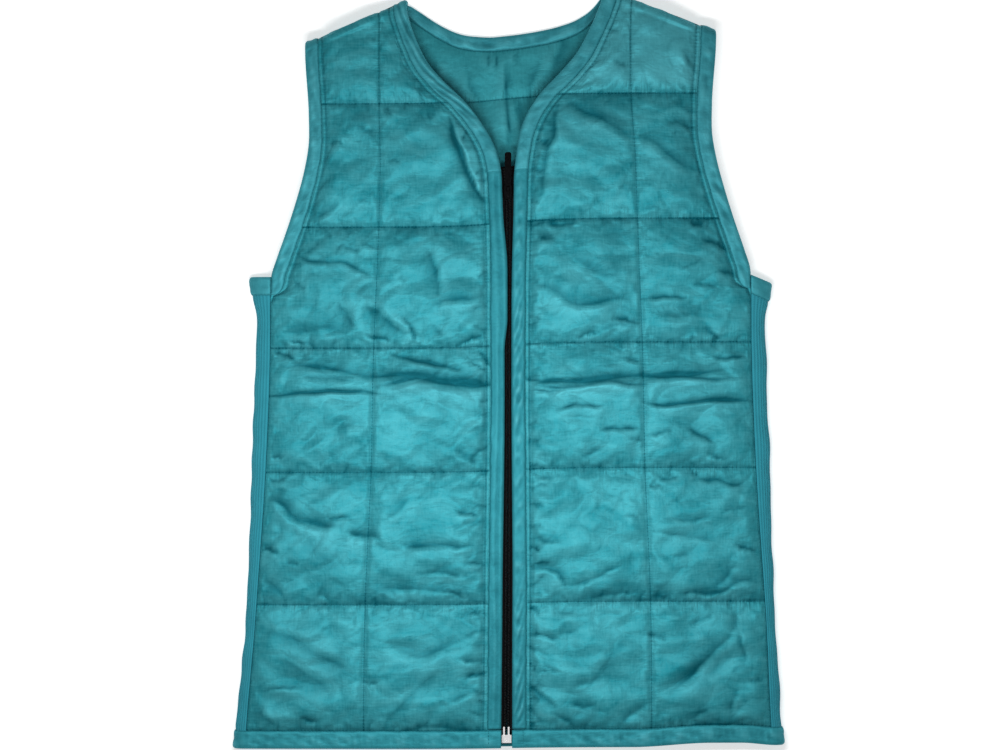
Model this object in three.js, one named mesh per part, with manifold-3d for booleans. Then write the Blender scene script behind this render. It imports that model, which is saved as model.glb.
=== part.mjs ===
// A zip-front weighted vest of quilted cloth, lying on its back with its front up and the zip closed.
// Millimetres: +X is the wearer's left, +Y runs from hem to neck, +Z is up from the floor.
import * as THREE from "three";
import { mergeVertices } from "three/addons/utils/BufferGeometryUtils.js";
import Module from "manifold-3d";

const wasm = await Module();
wasm.setup();
const { lerp, clamp, smoothstep } = THREE.MathUtils;
const vest = new THREE.Group();

// Cloth colours and metals of the whole vest.
const QUILT_TEAL = 0x3a98a4;
const BINDING_TEAL = 0x3f93a0;
const RIB_TEAL = 0x348aa0;
const ZIP_BLACK = 0x101316;
const SLIDER_GREY = 0x34363a;
const BRIGHT_METAL = 0xcdd2d3;

// Cloth thicknesses: a stitched margin, the wall of a folded strip, and the loft of the padded cells.
const HALF_MARGIN = 0.8;
const WALL = 1;
const GAP = 0.3;
const INSET = WALL + GAP;
const BINDING_DEPTH = 10.6;
const MARGIN = 11;
const FRONT_LOFT = 4.2;
const LINING_LOFT = 1.6;
const BACK_LOFT = 1.5;
const BACK_INNER_LOFT = 2.4;

// Heights above the floor of the middle of each layer, and the round of the shoulder fold in plan.
const BACK_HEIGHT = 2.2;
const EDGE_HEIGHT = 18;
const CROWN = 4;
const CROWN_SPAN = 210;
const FOLD_ROUND = 5;
const NECK_POINT_X = 83;
const NECK_POINT_Y = 312.5;
const SHOULDER_SLOPE = 0.41;

// The stitched quilt rows, from the hem seam to the top row.
const ROWS = [-300.7, -194.5, -82.7, 22.3, 125, 229.3];
const HEM_EDGE = -315;
const UNDERARM = 0.45;
const ZIP_TOP = 0.42;
const NECK_MARGIN = 0.76;

// Half of the pattern from hem to shoulder: the upright quilt seam, and the side seam that becomes the armhole.
const PATTERN = [
  { y: -316, quilt: 121, side: 221 },
  { y: -194.5, quilt: 119.7, side: 212.8 },
  { y: -82.7, quilt: 114.9, side: 205.2 },
  { y: 22.3, quilt: 112.7, side: 201.3 },
  { y: 68.5, quilt: 110.7, side: 201 },
  { y: 83.6, quilt: 110, side: 200.5 },
  { y: 98, quilt: 109.5, side: 196 },
  { y: 123, quilt: 108.6, side: 187.3 },
  { y: 148.3, quilt: 107.8, side: 179.3 },
  { y: 173.5, quilt: 107, side: 172.6 },
  { y: 194.5, quilt: 106.4, side: 169 },
  { y: 219.7, quilt: 105.9, side: 168.8 },
  { y: 270, quilt: 105.8, side: 172 },
  { y: 316, quilt: 105.8, side: 172 },
];

// The front edge from the middle: beside the zip, then up the neck to the neck point.
const FRONT_EDGE = [
  { y: -316, edge: 4.6 },
  { y: -234, edge: 4.2 },
  { y: -158, edge: 4 },
  { y: -99, edge: 3.3 },
  { y: -41, edge: 2.8 },
  { y: 27, edge: 2.8 },
  { y: 110, edge: 3.5 },
  { y: 134, edge: 4.3 },
  { y: 152, edge: 4.8 },
  { y: 168, edge: 5.4 },
  { y: 180, edge: 7.2 },
  { y: 196, edge: 11.4 },
  { y: 211, edge: 18.3 },
  { y: 228.5, edge: 30.5 },
  { y: 247.4, edge: 49 },
  { y: 261.7, edge: 61.3 },
  { y: 281.8, edge: 72.2 },
  { y: 299, edge: 79 },
  { y: 307.5, edge: 81.7 },
  { y: 320, edge: 81.7 },
];

// The edge of the back at the neck, from the middle to the foot of the shoulder fold.
const BACK_NECK = [
  { x: 0, y: 279.7 },
  { x: 28, y: 281 },
  { x: 50, y: 287 },
  { x: 62, y: 293 },
  { x: 70, y: 298.5 },
  { x: NECK_POINT_X, y: NECK_POINT_Y - FOLD_ROUND },
];

// How far the knit side bulges past the side seam.
const SIDE_BULGE = [
  { y: -316, out: 8.6 },
  { y: -194.5, out: 7.2 },
  { y: -82.7, out: 11.2 },
  { y: 22.3, out: 11.6 },
  { y: 50, out: 11.4 },
  { y: 66, out: 14.6 },
  { y: 78, out: 16 },
];

// How the vest was laid down: the wearer's left is pushed up by rise and the right down, and the neck drifts.
const LAY = [
  { y: -316, rise: 0.8, drift: -1.2 },
  { y: -82, rise: 2.2, drift: 0 },
  { y: 50, rise: 2.9, drift: 0 },
  { y: 150, rise: 4.1, drift: 0 },
  { y: 185, rise: 4.3, drift: -1 },
  { y: 211, rise: 4.4, drift: -4.8 },
  { y: 247, rise: 4.8, drift: -7 },
  { y: 282, rise: 5.4, drift: -7 },
  { y: 320, rise: 5.8, drift: -5 },
];
const RISE_SPREAD = 45;
const DRIFT_SPREAD = 172;
const CENTRE_Y = -1.5;

// The main folds pressed into the fronts: start and end, depth, and half-width.
const CREASES = [
  { x0: -177, y0: 99, x1: -122, y1: 88, depth: 2.2, width: 8 },
  { x0: -122, y0: 53, x1: -85, y1: 29, depth: 1.8, width: 7 },
  { x0: -58, y0: 64, x1: -21, y1: 62, depth: 1.8, width: 7 },
  { x0: -107, y0: 18, x1: -40, y1: 1, depth: 2, width: 7 },
  { x0: -78, y0: -5, x1: -19, y1: -9, depth: 2.6, width: 7 },
  { x0: -199, y0: -19, x1: -116, y1: -17, depth: 2.6, width: 6 },
  { x0: -171, y0: -124, x1: -118, y1: -137, depth: 2, width: 8 },
  { x0: -91, y0: -145, x1: -29, y1: -146, depth: 2, width: 9 },
  { x0: -109, y0: -180, x1: -24, y1: -180, depth: 1.4, width: 12 },
  { x0: 51, y0: 224, x1: 159, y1: 174, depth: 1.5, width: 13 },
  { x0: 49, y0: 61, x1: 105, y1: 61, depth: 1.8, width: 7 },
  { x0: 17, y0: -6, x1: 186, y1: 0, depth: 2.8, width: 7 },
  { x0: 117, y0: -26, x1: 202, y1: -25, depth: 2.6, width: 6 },
  { x0: 55, y0: -178, x1: 113, y1: -157, depth: 2, width: 9 },
  { x0: 191, y0: -199, x1: 126, y1: -264, depth: 1.4, width: 13 },
];

function columnOf(table, key, value) {
  const keys = table.map((row) => row[key]);
  const values = table.map((row) => row[value]);
  const spline = new THREE.CubicInterpolant(keys, values, 1);
  return (at) => spline.evaluate(at)[0];
}
const quiltAt = columnOf(PATTERN, "y", "quilt");
const sideAt = columnOf(PATTERN, "y", "side");
const edgeAt = columnOf(FRONT_EDGE, "y", "edge");
const neckAt = columnOf(BACK_NECK, "x", "y");
const bulgeAt = columnOf(SIDE_BULGE, "y", "out");
const riseAt = columnOf(LAY, "y", "rise");
const driftAt = columnOf(LAY, "y", "drift");

function laid(x, y, z) {
  const drift = driftAt(y) * Math.max(0, 1 - Math.abs(x) / DRIFT_SPREAD);
  const rise = riseAt(y) * Math.tanh(x / RISE_SPREAD);
  return new THREE.Vector3(x + drift, y + rise + CENTRE_Y, z);
}

function shoulderAt(x) {
  return NECK_POINT_Y - SHOULDER_SLOPE * (x - NECK_POINT_X);
}

function frontHeight(x, y) {
  const crown = 1 - (x / CROWN_SPAN) ** 2;
  return EDGE_HEIGHT + CROWN * crown * (1 - smoothstep(y, 190, 300));
}

function between(knots, u) {
  const i = clamp(Math.floor(u), 0, knots.length - 2);
  return lerp(knots[i], knots[i + 1], u - i);
}

// A margin is measured square to its edge, so across the cloth it is wider where the edge slants.
function slanted(edge, y) {
  return MARGIN * Math.hypot(1, (edge(y + 2) - edge(y - 2)) / 4);
}

// The outer edge of a panel is butted to the knit below the arm and bound above it.
function outerKnots(y) {
  const inset = lerp(GAP / 2, INSET, smoothstep(y, 62, 68));
  const margin = lerp(4, INSET + slanted(sideAt, y), smoothstep(y, 50, 67));
  return [sideAt(y) - margin, sideAt(y) - inset];
}

// Across a front, u is 0 at the front edge, 1 past its margin, 2 on the quilt seam, 3 at the outer margin, 4 outside.
function frontAcross(u, y) {
  const inner = edgeAt(y) + INSET;
  return between([inner, inner + slanted(edgeAt, y), quiltAt(y), ...outerKnots(y)], u);
}

// Across half of the back, u is 0 on the middle seam and 2 to 4 as on a front.
function backAcross(u, y) {
  return between([0, quiltAt(y) / 2, quiltAt(y), ...outerKnots(y)], u);
}

// Up a panel, v is -1 at the hem edge, 0 to 5 on the quilt rows, 6 at the shoulder fold and 7 on the shoulder seam.
function rowHeight(v, top) {
  if (v < 0) return lerp(ROWS[0], HEM_EDGE, -v);
  return between([...ROWS, top], v);
}

function foldStart(across, u) {
  let y = 290;
  for (let i = 0; i < 20; i += 1) y = shoulderAt(across(u, y)) - FOLD_ROUND;
  return y;
}

function overFold(v) {
  return (Math.PI / 2) * clamp(v - 6, 0, 1);
}

function frontPoint(u, v) {
  const top = foldStart(frontAcross, u);
  const y = rowHeight(Math.min(v, 6), top);
  const x = frontAcross(u, y);
  const turn = overFold(v);
  const drop = ((frontHeight(x, y) - BACK_HEIGHT) / 2) * (1 - Math.cos(turn));
  return [x, y + FOLD_ROUND * Math.sin(turn), frontHeight(x, y) - drop];
}

function onNeck(u) {
  return (u * quiltAt(ROWS[5])) / 2 < NECK_POINT_X - 0.01;
}

function backPoint(u, v) {
  const neck = onNeck(u) && v < 6.2;
  const top = neck ? neckAt((u * quiltAt(ROWS[5])) / 2) : foldStart(backAcross, u);
  const y = rowHeight(neck ? v : Math.min(v, 6), top);
  const x = backAcross(u, y);
  const turn = neck ? 0 : overFold(v);
  const lift = ((frontHeight(x, y) - BACK_HEIGHT) / 2) * (1 - Math.cos(turn));
  return [x, y + FOLD_ROUND * Math.sin(turn), BACK_HEIGHT + lift];
}

function sidePoint(a, y) {
  const top = frontHeight(sideAt(y), y);
  const middle = (top + BACK_HEIGHT) / 2;
  const x = sideAt(y) + GAP / 2 + bulgeAt(y) * Math.sin(Math.PI * a);
  return [x, y, middle + (top - middle) * Math.cos(Math.PI * a)];
}

// A layer of cloth of one half: its laid points, and its normal away from the wearer.
function cloth(pointOf, half, facing) {
  const at = (u, v) => {
    const [x, y, z] = pointOf(u, v);
    return laid(half * x, y, z);
  };
  const out = (u, v) => {
    const across = at(u + 0.01, v).sub(at(u - 0.01, v));
    const step = v > 6.98 ? -0.02 : 0.01;
    const up = at(u, v + step).sub(at(u, v)).multiplyScalar(Math.sign(step));
    return across.cross(up).normalize().multiplyScalar(half * facing);
  };
  return { at, out, half };
}
const RIGHT = -1;
const LEFT = 1;
const fronts = { [RIGHT]: cloth(frontPoint, RIGHT, 1), [LEFT]: cloth(frontPoint, LEFT, 1) };
const backs = { [RIGHT]: cloth(backPoint, RIGHT, -1), [LEFT]: cloth(backPoint, LEFT, -1) };
const sides = { [RIGHT]: cloth(sidePoint, RIGHT, 1), [LEFT]: cloth(sidePoint, LEFT, 1) };

function closed(points, faces) {
  const geometry = new THREE.BufferGeometry();
  geometry.setFromPoints(points);
  let volume = 0;
  for (const [a, b, c] of faces) {
    volume += points[a].dot(points[b].clone().cross(points[c]));
  }
  const outward = volume > 0 ? faces : faces.map(([a, b, c]) => [a, c, b]);
  geometry.setIndex(outward.flat());
  return geometry;
}

function add(name, geometry, color, metalness, roughness) {
  const material = new THREE.MeshStandardMaterial({ color, metalness, roughness, flatShading: true });
  const mesh = new THREE.Mesh(geometry, material);
  mesh.name = name;
  vest.add(mesh);
  return mesh;
}

// A wall between an outer and an inner grid of points, closed round the cells that are kept.
function wall(across, up, outer, inner, kept) {
  const points = [];
  const faces = [];
  for (let j = 0; j <= up; j += 1) {
    for (let i = 0; i <= across; i += 1) points.push(outer(i, j), inner(i, j));
  }
  const id = (i, j, k) => 2 * (j * (across + 1) + i) + k;
  const has = (i, j) => i >= 0 && j >= 0 && i < across && j < up && kept(i, j);
  const quad = (a, b, c, d) => faces.push([a, b, c], [a, c, d]);
  for (let j = 0; j < up; j += 1) {
    for (let i = 0; i < across; i += 1) {
      if (!has(i, j)) continue;
      quad(id(i, j, 0), id(i + 1, j, 0), id(i + 1, j + 1, 0), id(i, j + 1, 0));
      quad(id(i, j, 1), id(i, j + 1, 1), id(i + 1, j + 1, 1), id(i + 1, j, 1));
      if (!has(i, j - 1)) quad(id(i, j, 0), id(i, j, 1), id(i + 1, j, 1), id(i + 1, j, 0));
      if (!has(i, j + 1)) {
        quad(id(i, j + 1, 0), id(i + 1, j + 1, 0), id(i + 1, j + 1, 1), id(i, j + 1, 1));
      }
      if (!has(i - 1, j)) quad(id(i, j, 0), id(i, j + 1, 0), id(i, j + 1, 1), id(i, j, 1));
      if (!has(i + 1, j)) {
        quad(id(i + 1, j, 0), id(i + 1, j, 1), id(i + 1, j + 1, 1), id(i + 1, j + 1, 0));
      }
    }
  }
  const used = [...new Set(faces.flat())].sort((a, b) => a - b);
  const place = new Map(used.map((old, i) => [old, i]));
  return closed(
    used.map((i) => points[i]),
    faces.map((face) => face.map((i) => place.get(i))),
  );
}

// A section carried along rings of points, with flat ends.
function swept(rings, section) {
  const count = section.length;
  const faces = [];
  for (let j = 0; j + 1 < rings.length; j += 1) {
    for (let i = 0; i < count; i += 1) {
      const next = (i + 1) % count;
      const a = j * count + i;
      const b = j * count + next;
      faces.push([a, b, b + count], [a, b + count, a + count]);
    }
  }
  const contour = section.map(([x, y]) => new THREE.Vector2(x, y));
  const last = (rings.length - 1) * count;
  for (const [a, b, c] of THREE.ShapeUtils.triangulateShape(contour, [])) {
    faces.push([a, c, b], [a + last, b + last, c + last]);
  }
  return closed(rings.flat(), faces);
}

// A padded cell rises between its seams: share is 0 on one seam and 1 on the next.
function pillow(share) {
  return share <= 0 || share >= 1 ? 0 : 1 - Math.abs(2 * share - 1) ** 3;
}

function loftUp(v, top) {
  if (v < 0 || v >= top) return 0;
  return v < 5 ? pillow(v - Math.floor(v)) : pillow((v - 5) / (top - 5));
}

function frontLoft(u, v) {
  const across = u <= 1 || u >= 3 ? 0 : pillow(u - Math.floor(u));
  return Math.sqrt(across * loftUp(v, 6.6));
}

function backLoft(u, v) {
  const across = u >= 3 ? 0 : u < 2 ? pillow(u / 2) : pillow(u - 2);
  return Math.sqrt(across * loftUp(v, u < 2 ? 5 + NECK_MARGIN : 6.6));
}

function creaseDepth(x, y) {
  let depth = 0;
  for (const crease of CREASES) {
    const run = new THREE.Line3(
      new THREE.Vector3(crease.x0, crease.y0, 0),
      new THREE.Vector3(crease.x1, crease.y1, 0),
    );
    const here = new THREE.Vector3(x, y, 0);
    const near = run.closestPointToPoint(here, true, new THREE.Vector3());
    depth += crease.depth * Math.exp(-((near.distanceTo(here) / crease.width) ** 2));
  }
  return depth;
}

// Shares of each quilt row and column where a panel's grid is cut.
const FRONT_CUTS = [
  [0.2, 0.5, 0.8, 1],
  [0.15, 0.38, 0.62, 0.85, 1],
  [0.15, 0.3, 0.45, 0.55, 0.65, 0.75, 0.87, 1],
  [0.15, 0.32, UNDERARM, 0.58, 0.72, 0.86, 1],
  [0.14, 0.28, ZIP_TOP, 0.56, 0.7, 0.85, 1],
  [0.18, 0.42, 0.67, 0.88, 1],
];
const BACK_CUTS = [
  [0.22, 0.78, 1],
  [0.22, 0.78, 1],
  [0.22, 0.78, 1],
  [0.22, UNDERARM, 0.62, 0.8, 1],
  [0.2, 0.4, 0.6, 0.8, 1],
  [0.2, 0.4, 0.6, NECK_MARGIN, 1],
];
const FOLD_CUTS = [6.34, 6.67, 6.985];
const NECK_U = (2 * NECK_POINT_X) / quiltAt(300);
const FRONT_COLUMNS = [0, 1, 1.2, 1.5, 1.8, 2, 2.2, 2.5, 2.8, 3, 4];
const NECK_COLUMNS = [0.5, 0.95, 1.3];
const BACK_COLUMNS = [0, ...NECK_COLUMNS, NECK_U, 1.78, 2, 2.3, 2.7, 3, 4];

function rowsOf(cuts) {
  return [-1, 0, ...cuts.flatMap((shares, row) => shares.map((share) => row + share)), ...FOLD_CUTS];
}
const frontRows = rowsOf(FRONT_CUTS);
const backRows = rowsOf(BACK_CUTS);

// Fronts: padded cells between two layers of cloth, thin where they are stitched and where a strip covers them.
for (const half of [RIGHT, LEFT]) {
  const front = fronts[half];
  const outer = (i, j) => {
    const u = FRONT_COLUMNS[i];
    const v = frontRows[j];
    const at = front.at(u, v);
    const loft = frontLoft(u, v);
    const rise = Math.max(0.2, FRONT_LOFT - creaseDepth(at.x, at.y)) * loft;
    return at.addScaledVector(front.out(u, v), HALF_MARGIN + rise);
  };
  const inner = (i, j) => {
    const u = FRONT_COLUMNS[i];
    const v = frontRows[j];
    const depth = HALF_MARGIN + LINING_LOFT * frontLoft(u, v);
    return front.at(u, v).addScaledVector(front.out(u, v), -depth);
  };
  const panel = wall(FRONT_COLUMNS.length - 1, frontRows.length - 1, outer, inner, () => true);
  add(half === RIGHT ? "right_front_panel" : "left_front_panel", panel, QUILT_TEAL, 0, 0.7);
}

// Back: one quilt across both halves, pressed flat on the floor under its cells, cut away at the neck.
{
  const columns = [...BACK_COLUMNS.slice(1).reverse().map((u) => -u), ...BACK_COLUMNS];
  const layer = (u) => backs[u < 0 ? RIGHT : LEFT];
  const outer = (i, j) => {
    const u = Math.abs(columns[i]);
    const v = backRows[j];
    const depth = HALF_MARGIN + BACK_LOFT * Math.min(1, 1.4 * backLoft(u, v));
    const at = layer(columns[i]).at(u, v).addScaledVector(layer(columns[i]).out(u, v), depth);
    return at.setZ(Math.max(0, at.z));
  };
  const inner = (i, j) => {
    const u = Math.abs(columns[i]);
    const v = backRows[j];
    const depth = HALF_MARGIN + BACK_INNER_LOFT * backLoft(u, v);
    return layer(columns[i]).at(u, v).addScaledVector(layer(columns[i]).out(u, v), -depth);
  };
  const kept = (i, j) => {
    const middle = Math.abs(columns[i] + columns[i + 1]) / 2;
    return backRows[j] < 6 || middle > NECK_U;
  };
  const panel = wall(columns.length - 1, backRows.length - 1, outer, inner, kept);
  add("back_panel", panel, QUILT_TEAL, 0, 0.7);
}

// Sides: a strip of rib knit that runs round from the front seam to the back seam, its ribs lengthwise.
const RIB_COUNT = 5;
const RIB_HEIGHT = 0.5;
const KNIT_HALF = 0.7;
const SIDE_TOP = 77;
const UNDERARM_DEPTH = 14.4;
const KNIT_FREE = SIDE_TOP - UNDERARM_DEPTH - GAP;
const SIDE_ROWS = [HEM_EDGE, -300.7, -294, -245, -194.5, -138, -82.7, -30, 22.3, KNIT_FREE - 12, KNIT_FREE, SIDE_TOP];
for (const half of [RIGHT, LEFT]) {
  const knit = sides[half];
  const steps = 2 * RIB_COUNT;
  const outer = (i, j) => {
    const y = SIDE_ROWS[j];
    const free = y > -300 && y < KNIT_FREE ? 1 : 0;
    const depth = KNIT_HALF + (i % 2) * RIB_HEIGHT * free;
    return knit.at(i / steps, y).addScaledVector(knit.out(i / steps, y), depth);
  };
  const inner = (i, j) => {
    const y = SIDE_ROWS[j];
    return knit.at(i / steps, y).addScaledVector(knit.out(i / steps, y), -KNIT_HALF);
  };
  const panel = wall(steps, SIDE_ROWS.length - 1, outer, inner, () => true);
  add(half === RIGHT ? "right_side_panel" : "left_side_panel", panel, RIB_TEAL, 0, 0.85);
}

// A folded strip straddles an edge: its fold lies past the edge and its two legs lie on the two faces.
const STRIP_HALF = HALF_MARGIN + GAP + WALL;
function stripSection(depth) {
  const leg = HALF_MARGIN + GAP;
  return [
    [depth, STRIP_HALF],
    [-0.5, STRIP_HALF],
    [-INSET, STRIP_HALF - 1.1],
    [-INSET, 1.1 - STRIP_HALF],
    [-0.5, -STRIP_HALF],
    [depth, -STRIP_HALF],
    [depth, -leg],
    [-GAP, -leg],
    [-GAP, leg],
    [depth, leg],
  ];
}

// A stop on an edge: the layer, where it is, and how u and v change with each millimetre into the cloth.
function stop(layer, u, v, du, dv) {
  return ([d, h]) => layer.at(u + du * d, v + dv * d).addScaledVector(layer.out(u + du * d, v + dv * d), h);
}

function strip(stops, depth) {
  const section = stripSection(depth);
  return swept(
    stops.map((here) => section.map(here)),
    section,
  );
}
const MARGIN_STEP = 1 / MARGIN;
const HEM_STEP = 1 / (ROWS[0] - HEM_EDGE);

// Armholes: up the front edge, over the shoulder fold and down the back edge.
for (const half of [RIGHT, LEFT]) {
  const up = frontRows.filter((v) => v >= 3 + UNDERARM && v < 6.9);
  const down = backRows.filter((v) => v >= 3 + UNDERARM && v < 6.9).reverse();
  const stops = [
    ...up.map((v) => stop(fronts[half], 4, v, -MARGIN_STEP, 0)),
    stop(fronts[half], 4, 7, -MARGIN_STEP, 0),
    ...down.map((v) => stop(backs[half], 4, v, -MARGIN_STEP, 0)),
  ];
  const name = half === RIGHT ? "right_armhole_binding" : "left_armhole_binding";
  add(name, strip(stops, BINDING_DEPTH), BINDING_TEAL, 0, 0.7);
}

// Underarms: a short strip over the top of the knit, from seam to seam.
const ROUND = Array.from({ length: 2 * RIB_COUNT - 1 }, (_, i) => (i + 1) / (2 * RIB_COUNT));
for (const half of [RIGHT, LEFT]) {
  const stops = ROUND.map((a) => stop(sides[half], a, SIDE_TOP, 0, -1));
  const name = half === RIGHT ? "right_underarm_binding" : "left_underarm_binding";
  add(name, strip(stops, UNDERARM_DEPTH), BINDING_TEAL, 0, 0.7);
}

// Neck: from the top of the zip up one front, over the shoulder, round the back and down to the zip again.
{
  const perMm = 2 / quiltAt(300);
  const backTop = (u) => neckAt(u / perMm);
  const side = (half) => [
    ...frontRows
      .filter((v) => v >= 4 + ZIP_TOP && v < 6.9)
      .map((v) => stop(fronts[half], 0, v, MARGIN_STEP, 0)),
    stop(fronts[half], 0, 7, MARGIN_STEP, 0),
    ...[6.67, 6.34].map((v) => stop(backs[half], NECK_U, v, perMm, 0)),
    stop(backs[half], NECK_U, 6, perMm, 0),
    stop(backs[half], 1.5, 6, 0.6 * perMm, -0.8 / (backTop(1.5) - ROWS[5])),
    ...NECK_COLUMNS.toReversed().map((u) => stop(backs[half], u, 6, 0, -1 / (backTop(u) - ROWS[5]))),
  ];
  const middle = stop(backs[LEFT], 0, 6, 0, -1 / (backTop(0) - ROWS[5]));
  const stops = [...side(RIGHT), middle, ...side(LEFT).reverse()];
  add("neck_binding", strip(stops, BINDING_DEPTH), BINDING_TEAL, 0, 0.7);
}

// Bands beside the zip, from the hem strip to the neck strip.
for (const half of [RIGHT, LEFT]) {
  const rows = [0.006, 0.5, 1, 1.5, 2, 2.5, 3, 3.5, 4, 4.14, 4.28, 4 + ZIP_TOP - 0.004];
  const stops = rows.map((v) => stop(fronts[half], 0, v, MARGIN_STEP, 0));
  const name = half === RIGHT ? "right_front_band" : "left_front_band";
  add(name, strip(stops, BINDING_DEPTH), BINDING_TEAL, 0, 0.7);
}

// Hem: one strip from the zip round both sides and the back to the zip again.
{
  const HEM_DEPTH = 14;
  const side = (half) => [
    ...[-INSET / MARGIN, 1, 1.5, 2, 2.5, 3, 4].map((u) => stop(fronts[half], u, -1, 0, HEM_STEP)),
    ...ROUND.map((a) => stop(sides[half], a, HEM_EDGE, 0, 1)),
    ...[4, 3, 2.5, 2, 1].map((u) => stop(backs[half], u, -1, 0, HEM_STEP)),
  ];
  const middle = stop(backs[LEFT], 0, -1, 0, HEM_STEP);
  const stops = [...side(RIGHT), middle, ...side(LEFT).reverse()];
  add("hem_band", strip(stops, HEM_DEPTH), BINDING_TEAL, 0, 0.7);
}

// Zip: each coil sits on the edge of its tape, and the tape is sewn under the band. Both part above the slider.
const ZIP_HEIGHT = EDGE_HEIGHT + CROWN;
const TAPE_END = -304.9;
const TEETH_END = -298.3;
const ZIP_HEAD = 172.5;
const SLIDER_Y = 150.8 + CENTRE_Y;
const PART_FROM = 145;
const PARTED = 2.4;
const TAPE_TOP = ZIP_HEIGHT - STRIP_HALF - GAP;
const TEETH_TOP = TAPE_TOP - 0.2;
const TEETH_HALF = 2.9;
const TEETH_HIGH = 2.2;
function partedAt(y) {
  return PARTED * smoothstep(y, PART_FROM, ZIP_HEAD + 8);
}

function alongZip(half, section, from) {
  const stations = [from, -200, -100, 0, 100, PART_FROM - 6, PART_FROM, 152, 159, 166, ZIP_HEAD];
  const rings = stations.map((y) => section.map(([x, z]) => laid(half * (x + partedAt(y)), y, z)));
  return swept(rings, section);
}

const TAPE_THICK = 0.8;
const COIL_SEAT = TEETH_TOP - TEETH_HIGH - GAP;
const TAPE_SECTION = [
  [0.5, COIL_SEAT - TAPE_THICK],
  [3.2, COIL_SEAT - TAPE_THICK],
  [6.6, TAPE_TOP - TAPE_THICK],
  [13, TAPE_TOP - TAPE_THICK],
  [13, TAPE_TOP],
  [6.3, TAPE_TOP],
  [3, COIL_SEAT],
  [0.5, COIL_SEAT],
];
const TEETH_SECTION = [
  [GAP / 2, TEETH_TOP - TEETH_HIGH],
  [TEETH_HALF - 0.7, TEETH_TOP - TEETH_HIGH],
  [TEETH_HALF, TEETH_TOP - 1.5],
  [TEETH_HALF, TEETH_TOP - 0.7],
  [TEETH_HALF - 0.7, TEETH_TOP],
  [GAP / 2, TEETH_TOP],
];
add("right_zip_tape", alongZip(RIGHT, TAPE_SECTION, TAPE_END), ZIP_BLACK, 0, 0.8);
add("left_zip_tape", alongZip(LEFT, TAPE_SECTION, TAPE_END), ZIP_BLACK, 0, 0.8);
add("right_zip_teeth", alongZip(RIGHT, TEETH_SECTION, TEETH_END), ZIP_BLACK, 0, 0.45);
add("left_zip_teeth", alongZip(LEFT, TEETH_SECTION, TEETH_END), ZIP_BLACK, 0, 0.45);

// Metal pieces are joined with solid booleans, each from plain extrusions.
function solid(geometry) {
  const bare = new THREE.BufferGeometry();
  const loose = geometry.index ? geometry.toNonIndexed() : geometry;
  bare.setAttribute("position", loose.getAttribute("position"));
  const merged = mergeVertices(bare, 1e-4);
  return new wasm.Manifold(
    new wasm.Mesh({
      numProp: 3,
      vertProperties: new Float32Array(merged.attributes.position.array),
      triVerts: new Uint32Array(merged.index.array),
    }),
  );
}

function geometryOf(made) {
  const mesh = made.getMesh();
  const geometry = new THREE.BufferGeometry();
  geometry.setAttribute("position", new THREE.BufferAttribute(mesh.vertProperties, 3));
  geometry.setIndex(new THREE.BufferAttribute(mesh.triVerts, 1));
  return geometry;
}

function box(x0, x1, y0, y1, z0, z1) {
  const made = new THREE.BoxGeometry(x1 - x0, y1 - y0, z1 - z0);
  return solid(made.translate((x0 + x1) / 2, (y0 + y1) / 2, (z0 + z1) / 2));
}

function plate(outline, low, high, bevel) {
  const shape = new THREE.Shape(outline.map(([x, y]) => new THREE.Vector2(x, y)));
  const made = new THREE.ExtrudeGeometry(shape, {
    depth: high - low - 2 * bevel,
    bevelEnabled: bevel > 0,
    bevelThickness: bevel,
    bevelSize: bevel,
    bevelOffset: -bevel,
    bevelSegments: 1,
  });
  return solid(made.translate(0, 0, low + bevel));
}

// Slider: two plates held apart by a wedge between the parting coils, with a bridge on top for the pull.
const PLATE_THICK = 1.2;
const PLATE_LOW = COIL_SEAT - TAPE_THICK - GAP - PLATE_THICK;
const PLATE_HIGH = TEETH_TOP + GAP;
const PLATE_TOP = PLATE_HIGH + PLATE_THICK;
const BRIDGE_HALF = 3.4;
const BRIDGE_HIGH = 3.1;
const BRIDGE_BAR = 1.2;
{
  const outline = [
    [-2.7, -6.4],
    [2.7, -6.4],
    [3.3, -5.6],
    [3.9, 3.6],
    [3.5, 5.9],
    [2.4, 6.4],
    [-2.4, 6.4],
    [-3.5, 5.9],
    [-3.9, 3.6],
    [-3.3, -5.6],
  ];
  const wedge = [
    [0, 2.4],
    [0.5, 6],
    [-0.5, 6],
  ];
  const leg = (y) =>
    box(-1, 1, y - BRIDGE_BAR / 2, y + BRIDGE_BAR / 2, PLATE_TOP - 0.2, PLATE_TOP + BRIDGE_HIGH + 0.2);
  const top = PLATE_TOP + BRIDGE_HIGH;
  const made = plate(outline, PLATE_LOW, PLATE_LOW + PLATE_THICK, 0.3)
    .add(plate(outline, PLATE_HIGH, PLATE_TOP, 0.3))
    .add(plate(wedge, PLATE_LOW + 0.5, PLATE_TOP - 0.5, 0))
    .add(leg(-BRIDGE_HALF))
    .add(leg(BRIDGE_HALF))
    .add(box(-1, 1, -BRIDGE_HALF - BRIDGE_BAR / 2, BRIDGE_HALF + BRIDGE_BAR / 2, top, top + 1));
  const slider = add("zip_slider", geometryOf(made), SLIDER_GREY, 0.8, 0.4);
  slider.position.y = SLIDER_Y;
}

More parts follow.
